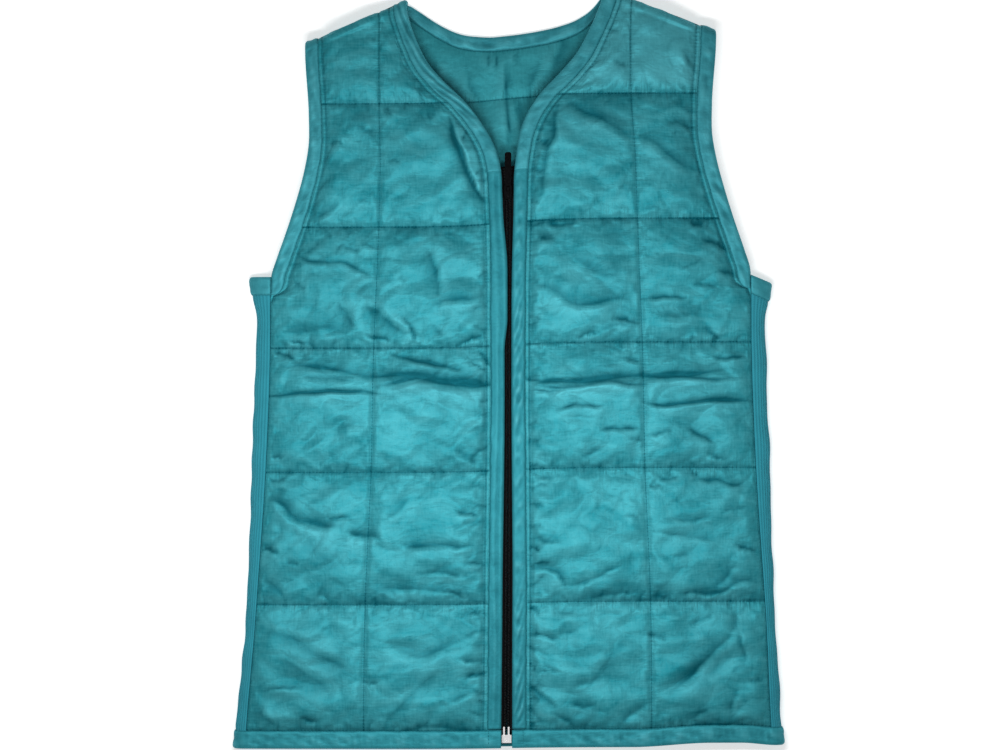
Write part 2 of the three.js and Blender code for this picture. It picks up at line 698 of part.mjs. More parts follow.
// Pull: a flat tab with a long eye whose end bar turns under the bridge, and a shallow recess near its end.
const PULL_LONG = 33.4;
const PULL_HALF = 2.75;
const PULL_THICK = 1.4;
const EYE_HALF = 1.5;
const EYE_LONG = 6.4;
{
  const shape = new THREE.Shape();
  shape.moveTo(-PULL_HALF + 0.6, -0.8);
  shape.lineTo(PULL_HALF - 0.6, -0.8);
  shape.lineTo(PULL_HALF - 0.1, 0);
  shape.lineTo(PULL_HALF - 0.3, 12);
  shape.lineTo(PULL_HALF, 20);
  shape.lineTo(PULL_HALF, PULL_LONG - 1.4);
  shape.lineTo(PULL_HALF - 1, PULL_LONG);
  shape.lineTo(-PULL_HALF + 1, PULL_LONG);
  shape.lineTo(-PULL_HALF, PULL_LONG - 1.4);
  shape.lineTo(-PULL_HALF, 20);
  shape.lineTo(-PULL_HALF + 0.3, 12);
  shape.lineTo(-PULL_HALF + 0.1, 0);
  const eye = new THREE.Path();
  eye.moveTo(-EYE_HALF, 0.8);
  eye.lineTo(EYE_HALF, 0.8);
  eye.lineTo(EYE_HALF, EYE_LONG);
  eye.lineTo(-EYE_HALF, EYE_LONG);
  eye.closePath();
  shape.holes.push(eye);
  const tab = new THREE.ExtrudeGeometry(shape, { depth: PULL_THICK, bevelEnabled: false });
  const made = solid(tab.translate(0, 0, -PULL_THICK / 2));
  const recess = box(-1.3, 1.3, 10.5, 17, 0.35, 1);
  const pull = add("zip_pull", geometryOf(made.subtract(recess)), SLIDER_GREY, 0.8, 0.4);
  pull.position.set(0, SLIDER_Y, PLATE_TOP + BRIDGE_HIGH / 2);
}

// Bottom fitting: a box and fixed pin on one tape, and the free pin of the other tape standing in the box.
{
  const foot = laid(0, -308.6, 0);
  const low = TEETH_TOP - TEETH_HIGH;
  const boxLow = low - 1;
  const boxHigh = TEETH_TOP + 0.9;
  const socket = box(-2.9 - GAP, -1.5 + GAP, -2, 6, low - GAP, TEETH_TOP + GAP);
  const made = box(-4.1, 4.1, -3.4, 3.3, boxLow, boxHigh)
    .add(box(1, 2.4, 3, 10, low, TEETH_TOP))
    .subtract(socket)
    .subtract(box(-2.4, 2.4, -1.9, 1.7, boxHigh - 0.35, boxHigh + 1));
  const retainer = add("zip_retainer", geometryOf(made), BRIGHT_METAL, 0.9, 0.3);
  retainer.position.set(foot.x, foot.y, 0);
  const pin = box(-2.9, -1.5, -1.7, 10, low, TEETH_TOP);
  const free = add("zip_insert_pin", geometryOf(pin), BRIGHT_METAL, 0.9, 0.3);
  free.position.set(foot.x, foot.y, 0);
}

export default vest;
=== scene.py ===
"""A zip-front weighted vest of quilted teal cloth, lying on its back with its front up."""

import bpy
import numpy as np
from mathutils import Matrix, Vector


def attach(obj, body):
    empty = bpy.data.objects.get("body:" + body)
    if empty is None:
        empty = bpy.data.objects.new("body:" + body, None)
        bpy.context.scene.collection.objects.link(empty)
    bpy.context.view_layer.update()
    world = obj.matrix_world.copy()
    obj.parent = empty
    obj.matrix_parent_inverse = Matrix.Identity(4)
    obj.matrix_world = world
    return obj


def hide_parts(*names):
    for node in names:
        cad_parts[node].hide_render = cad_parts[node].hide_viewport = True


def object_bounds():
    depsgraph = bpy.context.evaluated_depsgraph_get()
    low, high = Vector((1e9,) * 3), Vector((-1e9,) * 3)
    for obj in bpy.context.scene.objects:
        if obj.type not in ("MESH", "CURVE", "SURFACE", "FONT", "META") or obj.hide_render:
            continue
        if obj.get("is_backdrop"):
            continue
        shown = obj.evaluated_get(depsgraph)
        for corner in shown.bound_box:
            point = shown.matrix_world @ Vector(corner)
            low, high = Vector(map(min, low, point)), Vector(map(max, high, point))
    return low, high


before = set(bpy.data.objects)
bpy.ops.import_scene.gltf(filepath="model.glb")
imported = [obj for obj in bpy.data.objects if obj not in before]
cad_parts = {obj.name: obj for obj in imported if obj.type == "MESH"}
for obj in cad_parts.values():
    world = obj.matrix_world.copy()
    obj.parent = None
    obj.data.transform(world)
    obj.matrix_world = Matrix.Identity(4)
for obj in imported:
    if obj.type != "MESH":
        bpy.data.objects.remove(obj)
cad_low, cad_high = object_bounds()

# Back: one panel of two layers of teal cotton with thin wadding between, quilted in rows and columns.
# It lies flat on the floor under the fronts, joined to them over the shoulders and by the knit sides.
# Its lining shows inside the neck, with a soft fold down the middle.
MM = 0.001
HALF_MARGIN = 0.8
GAP = 0.3
INSET = 1.3
MARGIN = 11.0
FOLD_ROUND = 5.0
FOLD_ARC = 11.0
NECK_POINT = (83.0, 316.5)
SHOULDER_SLOPE = 0.41
BACK_HEIGHT = 2.2
EDGE_HEIGHT = 18.0
CROWN = 4.0
CROWN_SPAN = 210.0
CENTRE_Y = -1.5
ROWS = np.array([-300.7, -194.5, -82.7, 22.3, 125.0, 229.3])
HEM_EDGE = -315.0
UNDERARM = 3.45
ARM_FOOT = 66.8
ARM_ROUND = 15.0
SEAM_MARGIN = 2.0

# Height on the pattern, the upright quilt seam, and the side seam that becomes the armhole.
PATTERN = [
    (-316.0, 121.0, 221.0),
    (-194.5, 119.7, 212.8),
    (-82.7, 114.9, 205.2),
    (22.3, 112.7, 201.3),
    (68.5, 110.7, 201.0),
    (83.6, 110.0, 200.5),
    (98.0, 109.5, 196.0),
    (123.0, 108.6, 187.3),
    (148.3, 107.8, 179.3),
    (173.5, 107.0, 172.6),
    (194.5, 106.4, 169.0),
    (219.7, 105.9, 168.8),
    (270.0, 105.8, 172.0),
    (316.0, 105.8, 172.0),
]
RIGHT, LEFT = -1, 1
# Distance from the middle and height of the back's edge at the neck, which lies higher on the wearer's right.
BACK_NECK = {
    RIGHT: [
        *((0, 281.1), (7, 281.4), (17, 282.8), (35, 286.8)),
        *((53, 295.4), (62, 301.0), (70, 306.4), (83, 315.0)),
    ],
    LEFT: [
        *((0, 281.1), (16, 281.2), (33, 282.6), (48, 285.4)),
        *((64, 291.4), (72, 297.0), (78, 303.8), (83, 312.4)),
    ],
}
# Height, how far the wearer's left is pushed up and the right down, and how far the neck drifts.
LAY = [
    (-316, 0.8, -1.2),
    (-82, 2.2, 0.0),
    (50, 2.9, 0.0),
    (150, 4.1, 0.0),
    (185, 4.3, -1.0),
    (211, 4.4, -4.8),
    (247, 4.8, -7.0),
    (282, 5.4, -7.0),
    (320, 5.8, -5.0),
]
RISE_SPREAD = 45.0
DRIFT_SPREAD = 172.0
# How far the right and left sides are pushed to the wearer's left, and how far the hem lifts there.
SIDE_DRIFT = (1.6, 3.0)
HEM_LIFT = 3.5


def curve_of(rows, column=1):
    """A smooth curve through a table, from its first column to another one."""
    places = np.array([row[0] for row in rows], float)
    values = np.array([row[column] for row in rows], float)
    slopes = np.gradient(values, places)

    def at(place):
        place = np.clip(place, places[0], places[-1])
        i = np.clip(np.searchsorted(places, place) - 1, 0, len(places) - 2)
        span = places[i + 1] - places[i]
        t = (place - places[i]) / span
        rise = values[i + 1] - values[i]
        start = slopes[i] * span - rise
        end = rise - slopes[i + 1] * span
        return values[i] + t * rise + t * (1 - t) * ((1 - t) * start + t * end)

    return at


quilt_at = curve_of(PATTERN, 1)
side_at = curve_of(PATTERN, 2)
neck_at = {half: curve_of(edge) for half, edge in BACK_NECK.items()}
rise_at = curve_of(LAY, 1)
drift_at = curve_of(LAY, 2)


def smooth(low, high, x):
    t = np.clip((x - low) / (high - low), 0, 1)
    return t * t * (3 - 2 * t)


def laid(x, y, z):
    """Where a place on the pattern lies: neck pulled right, sides pushed left, hem up at the left."""
    drift = drift_at(y) * np.maximum(0, 1 - np.abs(x) / DRIFT_SPREAD)
    above = smooth(-300, -200, y)
    pushed = np.where(x < 0, SIDE_DRIFT[0] * above, SIDE_DRIFT[1] * (0.4 + 0.6 * above))
    drift = drift + pushed * smooth(118, 180, np.abs(x))
    rise = rise_at(y) * np.tanh(x / RISE_SPREAD)
    rise = rise + HEM_LIFT * smooth(105, 170, x) * (1 - 0.6 * smooth(195, 225, x)) * smooth(-220, -316, y)
    return np.stack(np.broadcast_arrays(x + drift, y + rise + CENTRE_Y, z), -1)


def front_height(x, y):
    return EDGE_HEIGHT + CROWN * (1 - (x / CROWN_SPAN) ** 2) * (1 - smooth(190, 300, y))


def between(knots, u):
    knots = np.stack(np.broadcast_arrays(*knots, u)[:-1])
    i = np.clip(np.floor(u).astype(int), 0, len(knots) - 2)
    low = np.take_along_axis(knots, i[None], 0)[0]
    high = np.take_along_axis(knots, i[None] + 1, 0)[0]
    return low + (high - low) * (u - i)


def slant(edge, y):
    return np.hypot(1, (edge(y + 2) - edge(y - 2)) / 4)


def outer_knots(y):
    """Where the outer margin of a panel starts and ends: butted to the knit below the arm, bound above it.
    The strip that binds it narrows in a quarter round down to the side seam."""
    risen = np.clip((y - ARM_FOOT) / ARM_ROUND, 0, 1)
    bound = np.sqrt(risen * (2 - risen))
    inset = GAP / 2 + (INSET - GAP / 2) * bound
    margin = SEAM_MARGIN + (INSET + MARGIN * slant(side_at, y) - SEAM_MARGIN) * bound
    return side_at(y) - margin, side_at(y) - inset


def back_across(u, y):
    return between([0 * y, quilt_at(y) / 2, quilt_at(y), *outer_knots(y)], u)


def row_height(v, top):
    low = ROWS[0] + np.minimum(v, 0) * (ROWS[0] - HEM_EDGE)
    rows = np.interp(v, np.arange(6), ROWS)
    high = ROWS[5] + (v - 5) * (top - ROWS[5])
    return np.where(v < 0, low, np.where(v < 5, rows, high))


def fold_start(across, u):
    y = np.full(np.shape(u), 290.0)
    for _ in range(20):
        y = NECK_POINT[1] - SHOULDER_SLOPE * (across(u, y) - NECK_POINT[0]) - FOLD_ROUND
    return y


NECK_U = 2 * NECK_POINT[0] / float(quilt_at(np.array(300.0)))


def back_half(half):
    """The points of one half of the back, before it is laid down."""

    def point(u, v):
        u, v = np.broadcast_arrays(np.asarray(u, float), np.asarray(v, float))
        from_middle = u * quilt_at(ROWS[5]) / 2
        neck = (from_middle < NECK_POINT[0] - 0.01) & (v < 6.2)
        top = np.where(neck, neck_at[half](from_middle), fold_start(back_across, u))
        y = row_height(np.where(neck, v, np.minimum(v, 6)), top)
        x = back_across(u, y)
        turn = np.where(neck, 0, np.pi / 2 * np.clip(v - 6, 0, 1))
        lift = (front_height(x, y) - BACK_HEIGHT) / 2 * (1 - np.cos(turn))
        return x, y + FOLD_ROUND * np.sin(turn), BACK_HEIGHT + lift

    return point


def layer(point_of, half, facing):
    """A layer of cloth of one half: its laid points, and its normal away from the wearer."""

    def at(u, v):
        x, y, z = point_of(u, v)
        return laid(half * x, y, z)

    def out(u, v):
        u, v = np.broadcast_arrays(np.asarray(u, float), np.asarray(v, float))
        across = at(u + 0.01, v) - at(u - 0.01, v)
        step = np.where(v > 6.98, -0.02, 0.01)
        up = (at(u, v + step) - at(u, v)) * np.sign(step)[..., None]
        normal = np.cross(across, up) * half * facing
        return normal / np.linalg.norm(normal, axis=-1, keepdims=True)

    return at, out


def stations(knots, counts):
    parts = [np.linspace(a, b, n, endpoint=False) for a, b, n in zip(knots, knots[1:], counts)]
    return np.concatenate([*parts, knots[-1:]])


def waves(x, y, length, seed, count=14, lean=np.pi):
    """Soft uneven waves over a place, about one high, of the given length and across within the lean."""
    draw = np.random.default_rng(seed)
    total = 0
    for _ in range(count):
        turn = np.pi / 2 + draw.uniform(-lean / 2, lean / 2)
        pitch = length * draw.uniform(0.7, 1.5)
        shift = draw.uniform(0, 2 * np.pi)
        total = total + np.cos(2 * np.pi / pitch * (x * np.cos(turn) + y * np.sin(turn)) + shift)
    return total / np.sqrt(count / 2)


def grid_faces(rows, columns, first=0):
    i = np.arange(rows * columns).reshape(rows, columns) + first
    return np.stack([i[:-1, :-1], i[:-1, 1:], i[1:, 1:], i[1:, :-1]], -1)


def add_mesh(name, points, faces, material):
    """A smooth mesh of points in millimetres, its faces turned outward."""
    points = np.asarray(points, float).reshape(-1, 3)
    volume = 0.0
    for corners in {len(face) for face in faces}:
        found = np.array([face for face in faces if len(face) == corners])
        a = points[found[:, 0]]
        for k in range(1, corners - 1):
            volume += (a * np.cross(points[found[:, k]], points[found[:, k + 1]])).sum()
    if volume < 0:
        faces = [face[::-1] for face in faces]
    mesh = bpy.data.meshes.new(name)
    mesh.from_pydata((points * MM).tolist(), [], faces)
    mesh.shade_smooth()
    mesh.materials.append(material)
    piece = bpy.data.objects.new(name, mesh)
    bpy.context.scene.collection.objects.link(piece)
    return piece


def note(piece, name, values, unit=MM):
    """Keeps a place, a distance or a share on each point for the material, lengths in metres."""
    made = piece.data.attributes.new(name, "FLOAT_VECTOR", "POINT")
    values = np.asarray(values, np.float32).reshape(-1, 3) * unit
    made.data.foreach_set("vector", values.astype(np.float32).ravel())


def shell_faces(kept):
    """The faces of a wall between two grids of points, the second after the first, round the kept cells."""
    rows, columns = kept.shape[0] + 1, kept.shape[1] + 1
    count = rows * columns
    outer = grid_faces(rows, columns)
    faces = [*outer[kept].tolist(), *(outer[kept][:, ::-1] + count).tolist()]
    framed = np.pad(kept, 1)
    i = np.arange(count).reshape(rows, columns)
    sides = [
        (framed[:-2, 1:-1], i[:-1, :-1], i[:-1, 1:]),
        (framed[2:, 1:-1], i[1:, 1:], i[1:, :-1]),
        (framed[1:-1, :-2], i[1:, :-1], i[:-1, :-1]),
        (framed[1:-1, 2:], i[:-1, 1:], i[1:, 1:]),
    ]
    for beside, start, end in sides:
        open_edge = kept & ~beside
        a, b = start[open_edge], end[open_edge]
        faces += np.stack([b, a, a + count, b + count], -1).tolist()
    return faces


def feed(tree, made, inputs):
    """Gives a node or a shader its inputs: what another node gives is linked, the rest is set."""
    for key, value in inputs.items():
        if isinstance(value, bpy.types.NodeSocket):
            tree.links.new(value, made.inputs[key])
        else:
            made.inputs[key].default_value = value


def node(tree, kind, inputs, **settings):
    made = tree.nodes.new(kind)
    for key, value in settings.items():
        setattr(made, key, value)
    feed(tree, made, inputs)
    return made


def sums(tree, operation, *numbers):
    return node(tree, "ShaderNodeMath", dict(enumerate(numbers)), operation=operation).outputs[0]


def kept(tree, name):
    """What a piece keeps on each of its points under a name."""
    return node(tree, "ShaderNodeAttribute", {}, attribute_name=name).outputs["Vector"]


def blend(tree, share, deep, pale):
    return node(tree, "ShaderNodeMix", {"Factor": share, 6: deep, 7: pale}, data_type="RGBA").outputs[2]


def spread(tree, value, low, high, start=0.0, end=1.0):
    inputs = {"Value": value, "From Min": start, "From Max": end, "To Min": low, "To Max": high}
    return node(tree, "ShaderNodeMapRange", inputs).outputs[0]


def speckle(tree, place, scale, detail, distortion=0.0):
    inputs = {"Vector": place, "Scale": scale, "Detail": detail, "Distortion": distortion}
    return node(tree, "ShaderNodeTexNoise", inputs).outputs["Fac"]


def relief(tree, height, strength, distance):
    inputs = {"Height": height, "Strength": strength, "Distance": distance}
    return node(tree, "ShaderNodeBump", inputs).outputs[0]


def surface(name):
    """A new material, with its nodes and its shader."""
    material = bpy.data.materials.new(name)
    material.use_nodes = True
    return material, material.node_tree, material.node_tree.nodes["Principled BSDF"]


def colour(red, green, blue):
    """A colour as the eye names it, from 0 to 255, as the light that it gives back."""
    parts = np.array([red, green, blue]) / 255
    light = np.where(parts < 0.04045, parts / 12.92, ((parts + 0.055) / 1.055) ** 2.4)
    return (*light.tolist(), 1.0)


STITCH_PITCH = 2.9
SEAM_WIDTH = 0.75
PUCKER_REACH = 4.0
# Along the rows and the upright seams: how the puckers stretch, their height, and how strong the painted
# shade along the seam is.
SEAM_PUCKERS = [(0, (420, 60, 1), 6.0, 0.7), (1, (60, 420, 1), 3.0, 0.55)]
# Colours of the painted highlight beside the folds and of the painted shade in folds and along the seams.
PAINTED_HIGHLIGHT = colour(96, 184, 196)
FOLD_SHADE = colour(0, 76, 88)


def woven_cloth(name, pale, deep, puckered=False):
    """Slubbed cotton with a satin shine, dyed a little unevenly, with painted shade in its folds and along
    its seams and a painted highlight beside its folds.
    """
    material, tree, shader = surface(name)
    place = kept(tree, "weave")
    apart = node(tree, "ShaderNodeSeparateXYZ", {0: place})
    # Painted shade and painted highlight, kept on each point.
    shade, crest, _ = node(tree, "ShaderNodeSeparateXYZ", {0: kept(tree, "deep")}).outputs

    def noise(scale, detail, stretch=(1, 1, 1), distortion=0.0):
        spot = node(tree, "ShaderNodeMapping", {"Vector": place, "Scale": stretch}).outputs[0]
        return speckle(tree, spot, scale, detail, distortion)

    def times(first, second):
        return sums(tree, "MULTIPLY", first, second)

    def plus(first, share, second):
        return sums(tree, "MULTIPLY_ADD", first, share, second)

    slub = sums(tree, "ADD", noise(1, 4, (90, 700, 1), 0.4), noise(1, 4, (600, 110, 1), 0.4))
    height = plus(noise(150, 4, distortion=0.8), 1.3, 0.0)
    height = plus(noise(55, 2, (0.7, 1.2, 1), 1.2), 2.2, height)
    height = plus(slub, 0.25, height)
    if puckered:
        away = node(tree, "ShaderNodeSeparateXYZ", {0: kept(tree, "seam")})
        for way, stretch, share, dark in SEAM_PUCKERS:
            pull = sums(tree, "EXPONENT", times(away.outputs[way], -1 / (PUCKER_REACH * MM)))
            gather = sums(tree, "SUBTRACT", noise(1, 2, stretch), 0.5)
            height = plus(times(gather, pull), share, height)
            # Painted shade along each stitched seam, a little uneven at the stitch pitch.
            beat = times(apart.outputs[way], 2 * np.pi / (STITCH_PITCH * MM))
            near = sums(tree, "POWER", times(away.outputs[way], 1 / (SEAM_WIDTH * MM)), 2.0)
            line = sums(tree, "EXPONENT", times(near, -1.0))
            holes = plus(sums(tree, "SINE", beat), 0.12, 0.88)
            shade = plus(times(line, holes), dark, shade)
    blotch = plus(noise(48, 5, (0.7, 1.25, 1), 1.0), 0.72, 0.0)
    tone = spread(tree, plus(slub, 0.33, blotch), 0.0, 1.0, 0.45, 0.93)
    # Painted highlight where the cloth rises beside a fold, then painted shade in folds and along the seams.
    highlighted = blend(tree, crest, blend(tree, tone, deep, pale), PAINTED_HIGHLIGHT)
    inputs = {
        "Base Color": blend(tree, shade, highlighted, FOLD_SHADE),
        "Normal": relief(tree, height, 0.55, 0.0006),
        "Roughness": spread(tree, slub, 0.46, 0.6, 0.6, 1.4),
        "Metallic": 0.22,
        "Specular IOR Level": 0.02,
        "Sheen Weight": 0.06,
        "Sheen Roughness": 0.45,
        "Sheen Tint": (0.05, 0.85, 1.0, 1.0),
    }
    feed(tree, shader, inputs)
    return material


quilt_cloth = woven_cloth("quilt_cloth", colour(70, 162, 173), colour(27, 122, 134), puckered=True)
lining_cloth = woven_cloth("lining_cloth", colour(58, 152, 162), colour(40, 126, 136), puckered=True)

# Soft folds in the lining: depth, how wide its shaded slope is, and the places that it runs through.
# The slope is on the left of the run, or on the right where its width is negative.
LINING_FOLDS = [
    (1.6, 3, [(6, 266), (5, 235), (4, 205), (2, 190)]),
    (1.2, 2, [(-3, 270), (-3, 252)]),
    (1.0, 2, [(-10, 270), (-9, 258)]),
    (1.0, 2, [(14, 270), (13, 256)]),
    (1.2, -9, [(-57, 268), (-56, 245), (-50, 228)]),
    (1.4, 8, [(12, 232), (14, 215), (16, 200)]),
    (1.3, 8, [(52, 280), (48, 262), (43, 250)]),
    (1.0, 6, [(-30, 262), (-24, 240), (-14, 222)]),
    (1.0, -6, [(34, 264), (26, 240), (22, 220)]),
]
FOLD_EDGE = 2.2
DEEPEST = 0.9
BRIGHTEST = 0.5


def run_along(line):
    """How far along a line each of its points is."""
    return np.concatenate([[0], np.cumsum(np.linalg.norm(np.diff(line, axis=0), axis=1))])


def fold_run(places):
    """A smooth run of points through a fold's places, and the share of the run at each."""
    places = np.array(places, float)
    run = run_along(places)
    spots = np.linspace(0, run[-1], max(4, int(run[-1] / 1.2)))
    spine = np.stack([curve_of(np.stack([run, places[:, k]], 1))(spots) for k in (0, 1)], -1)
    return spine, spots / run[-1]


def folded(x, y, folds, seed):
    """The rise of the cloth over its folds, the painted shade in each fold and the painted highlight beside
    each.
    """
    draw = np.random.default_rng(seed)
    rise, deep, lit = np.zeros((3, *x.shape))
    for depth, slope, places in folds:
        spine, share = fold_run(places)
        wobble = draw.uniform(0, 2 * np.pi, 3)
        beat = share[:, None]
        spine = spine + 0.5 * np.sin(9 * beat + wobble[:2]) + 0.3 * np.sin(23 * beat + wobble[1:])
        heading = np.gradient(spine, axis=0)
        heading = heading / np.linalg.norm(heading, axis=1, keepdims=True)
        wide = abs(slope)
        reach = 2.5 * wide + 10
        low, high = spine.min(0) - reach, spine.max(0) + reach
        near = np.nonzero((x > low[0]) & (x < high[0]) & (y > low[1]) & (y < high[1]))
        gap = np.stack([x[near], y[near]], -1)[:, None] - spine
        nearest = (gap**2).sum(-1).argmin(1)
        gap = gap[np.arange(len(nearest)), nearest]
        ahead = heading[nearest]
        off = (ahead[:, 0] * gap[:, 1] - ahead[:, 1] * gap[:, 0]) * np.sign(slope)
        past = np.abs((ahead * gap).sum(-1))
        t = share[nearest]
        taper = smooth(0, 0.28, t) * smooth(1, 0.72, t)
        fade = smooth(0, 0.06, t) * smooth(1, 0.94, t) * np.exp(-((past / 3) ** 2)) * (0.3 + 0.7 * taper)
        fade = fade * (0.85 + 0.15 * np.sin(11 * t + wobble[2]))
        up, down = np.maximum(off, 0), np.maximum(-off, 0)
        soft = 1.5 * FOLD_EDGE + 0.6 * max(0, wide - 4)
        valley = np.exp(-((up / wide) ** 1.4))
        plateau = np.exp(-np.maximum(down - soft, 0) / (4 + 0.6 * wide))
        step = smooth(0, soft, down)
        rise[near] += depth * fade * (0.25 * plateau * step - 0.5 * valley * (1 - step))
        # Painted shade down the fold's shaded slope, and a painted highlight on the plateau beside its edge.
        thin = 0.45 + 0.55 * taper
        dark = np.exp(-((up / (0.72 * wide * thin)) ** 1.15)) * np.exp(-((down / (0.8 + 0.1 * wide)) ** 2))
        deep[near] += 0.64 * depth * (3 / wide) ** 0.25 * fade * dark
        lit[near] += 0.12 * depth * fade * plateau * smooth(0.2 * soft, soft, down)
    return rise, np.clip(deep, 0, DEEPEST), np.clip(lit, 0, BRIGHTEST)


BACK_LOFT = 1.5
BACK_INNER_LOFT = 2.4
PUFF_ROUND = 8.0
half_columns = stations([0, NECK_U, 2, 3, 4], [34, 8, 18, 3])
back_columns = np.concatenate([-half_columns[:0:-1], half_columns])
back_rows = stations([-1, 0, 1, 2, 3, UNDERARM, 4, 4.55, 5, 6, 7], [3, 16, 16, 16, 8, 10, 12, 30, 32, 6])


def rows_away(y):
    return np.abs(y[..., None] - ROWS).min(-1)


def puff(distance):
    return 1 - np.exp(-np.maximum(distance, 0) / PUFF_ROUND)


def back_face(sign, loft):
    """One face of the back: sign 1 for the outer one on the floor, -1 for the lining."""
    faces = []
    for half in (RIGHT, LEFT):
        u, v = np.meshgrid(half_columns, back_rows)
        at, out = layer(back_half(half), half, -1)
        x, y, _ = back_half(half)(u, v)
        outside = outer_knots(y)[0]
        across = np.minimum(np.abs(x - quilt_at(y)), outside - x)
        top = np.where(u < NECK_U, neck_at[half](x) - MARGIN, fold_start(back_across, u) + FOLD_ARC)
        along = np.where(v < 5, rows_away(y), np.minimum(np.abs(y - ROWS[5]), top - y))
        lift = loft * puff(across) * puff(along) * (v > 0)
        deep, lit = 0 * x, 0 * x
        if sign < 0:
            ripple = 0.5 * waves(x * half, y, 46, 5) + 0.35 * waves(3 * x, y * 0.6 * half, 38, 6)
            lift = lift * (1 + 0.35 * ripple)
            # The lining's folds also give it painted shade and a painted highlight.
            rise, deep, lit = folded(x * half, y, LINING_FOLDS, 3)
            lift = lift + rise * smooth(0, 5, along) * (v > 0)
        face = at(u, v) + out(u, v) * (sign * (HALF_MARGIN + lift))[..., None]
        seam = np.stack([along, np.abs(x - quilt_at(y)), 0 * x], -1)
        weave = np.stack([half * x, y, 0 * x], -1)
        faces.append((face, weave, seam, np.stack([deep, lit, 0 * x], -1)))
    joined = [np.concatenate([r[:, :0:-1], l], 1) for r, l in zip(*faces)]
    if sign > 0:
        joined[0][..., 2] = np.maximum(joined[0][..., 2], 0)
    return joined


def rows_of(*grids):
    """The points of some grids, one after the other."""
    return np.concatenate([grid.reshape(-1, 3) for grid in grids])


back_outer, *back_notes = back_face(1, BACK_LOFT)
back_lining, *lining_notes = back_face(-1, BACK_INNER_LOFT)
middle_columns = np.abs(back_columns[:-1] + back_columns[1:]) / 2
back_kept = (back_rows[:-1, None] < 5.99) | (middle_columns[None, :] > NECK_U)
back_points = rows_of(back_outer, back_lining)
back_faces = np.array(shell_faces(back_kept))
used, places = np.unique(back_faces, return_inverse=True)
back_faces = places.reshape(back_faces.shape).tolist()
back_panel = add_mesh("back_panel_quilt", back_points[used], back_faces, lining_cloth)
for name, unit, outer, inner in zip(("weave", "seam", "deep"), (MM, MM, 1), back_notes, lining_notes):
    note(back_panel, name, rows_of(outer, inner)[used], unit)


def sew_in(piece, solid):
    """Sews a piece into the vest, in the place of its plain solid."""
    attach(piece, "vest")
    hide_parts(solid)


sew_in(back_panel, "back_panel")

# Fronts: two quilted panels of the same cotton over wadding, their cells puffed between the stitched lines.
# The cotton is a little larger than its seams, so it buckles into puckers, and lying folded has left creases.
FRONT_LOFT = 6.2
ROW_ROUND = (8.0, 16.0)
EDGE_ROUND = 6.0
SEAM_ROUND = 4.5
SEAM_DIP = 0.35
LINING_LOFT = 1.6
TOPSTITCH = 3.2
# Height on the pattern, and the front edge from the middle: beside the zip, then up the neck.
FRONT_EDGE = [
    (-316, 4.6),
    (-234, 4.2),
    (-158, 4.0),
    (-99, 3.3),
    (-41, 2.8),
    (27, 2.8),
    (110, 3.5),
    (134, 4.3),
    (152, 4.8),
    (168, 5.4),
    (180, 7.2),
    (196, 11.4),
    (211, 18.3),
    (228.5, 30.5),
    (247.4, 49.0),
    (261.7, 61.3),
    (281.8, 72.2),
    (299, 79.0),
    (307.5, 81.7),
    (320, 81.7),
]
edge_at = curve_of(FRONT_EDGE)


def front_knots(y):
    """Across a front: its edge, past the strip, second stitch line, quilt seam, and the same outside."""
    steep = slant(edge_at, y)
    inner = edge_at(y) + INSET
    margin, outer = outer_knots(y)
    past = [inner, inner + MARGIN * steep, inner + (MARGIN + TOPSTITCH) * steep]
    return [*past, quilt_at(y), margin - TOPSTITCH * slant(side_at, y), margin, outer]


def front_across(u, y):
    return between(front_knots(y), u)


def front_point(u, v):
    u, v = np.broadcast_arrays(np.asarray(u, float), np.asarray(v, float))
    top = fold_start(front_across, u)
    y = row_height(np.minimum(v, 6), top)
    x = front_across(u, y)
    turn = np.pi / 2 * np.clip(v - 6, 0, 1)
    height = front_height(x, y)
    drop = (height - BACK_HEIGHT) / 2 * (1 - np.cos(turn))
    return x, y + FOLD_ROUND * np.sin(turn), height - drop


front_columns = stations([0, 1, 2, 3, 4, 5, 6], [3, 2, 30, 28, 2, 3])
front_rows = stations([-1, 0, 1, 2, 2.4, 3, 4, 5, 6, 7], [4, 40, 46, 16, 48, 44, 34, 24, 6])


def halved(values):
    """The stations again, with one more between each two."""
    return np.insert(values, np.arange(1, len(values)), (values[1:] + values[:-1]) / 2)


def front_seams(u, v):
    """How far each place on a front is from its nearest stitched row and from its nearest upright seam."""
    x, y, _ = front_point(u, v)
    knots = front_knots(y)
    bound = smooth(58, 74, y)
    outer = knots[6] + (knots[4] - knots[6]) * bound
    sides = np.minimum(x - knots[2], outer - x)
    upright = np.abs(x - knots[3])
    past_fold = fold_start(front_across, u) + FOLD_ARC - y
    over = np.where(v > 6, FOLD_ARC * (7 - v), past_fold)
    along = np.where(v < 5, rows_away(y), np.minimum(np.abs(y - ROWS[5]), over))
    return x, y, along, upright, sides


def front_lift(v, along, upright, sides):
    """How far a front's cell rises: not at all at its rows and edges, and less at its upright seam.
    The filling has sunk a little, so each cell is fuller and steeper at its foot."""
    sunk = smooth(0.25, 0.75, v - np.floor(v))
    rows = 1 - np.exp(-np.maximum(along, 0) / (ROW_ROUND[0] + (ROW_ROUND[1] - ROW_ROUND[0]) * sunk))
    edges = 1 - np.exp(-np.maximum(sides, 0) / EDGE_ROUND)
    return rows * edges * (1 - SEAM_DIP * np.exp(-upright / SEAM_ROUND))


SETTLE_FRAMES = 24
SPARE_CLOTH = 0.013
SETTLE_CAP = 2.5
# How near a stitched line the cloth is held fast, how far it lies calm beside one, how firmly the wadding
# holds the rest of it, and how taut it is far from every seam.
STITCH_REACH = 0.6
SEAM_CALM = 14.0
WADDING_HOLD = 0.03
TAUTNESS = 0.75


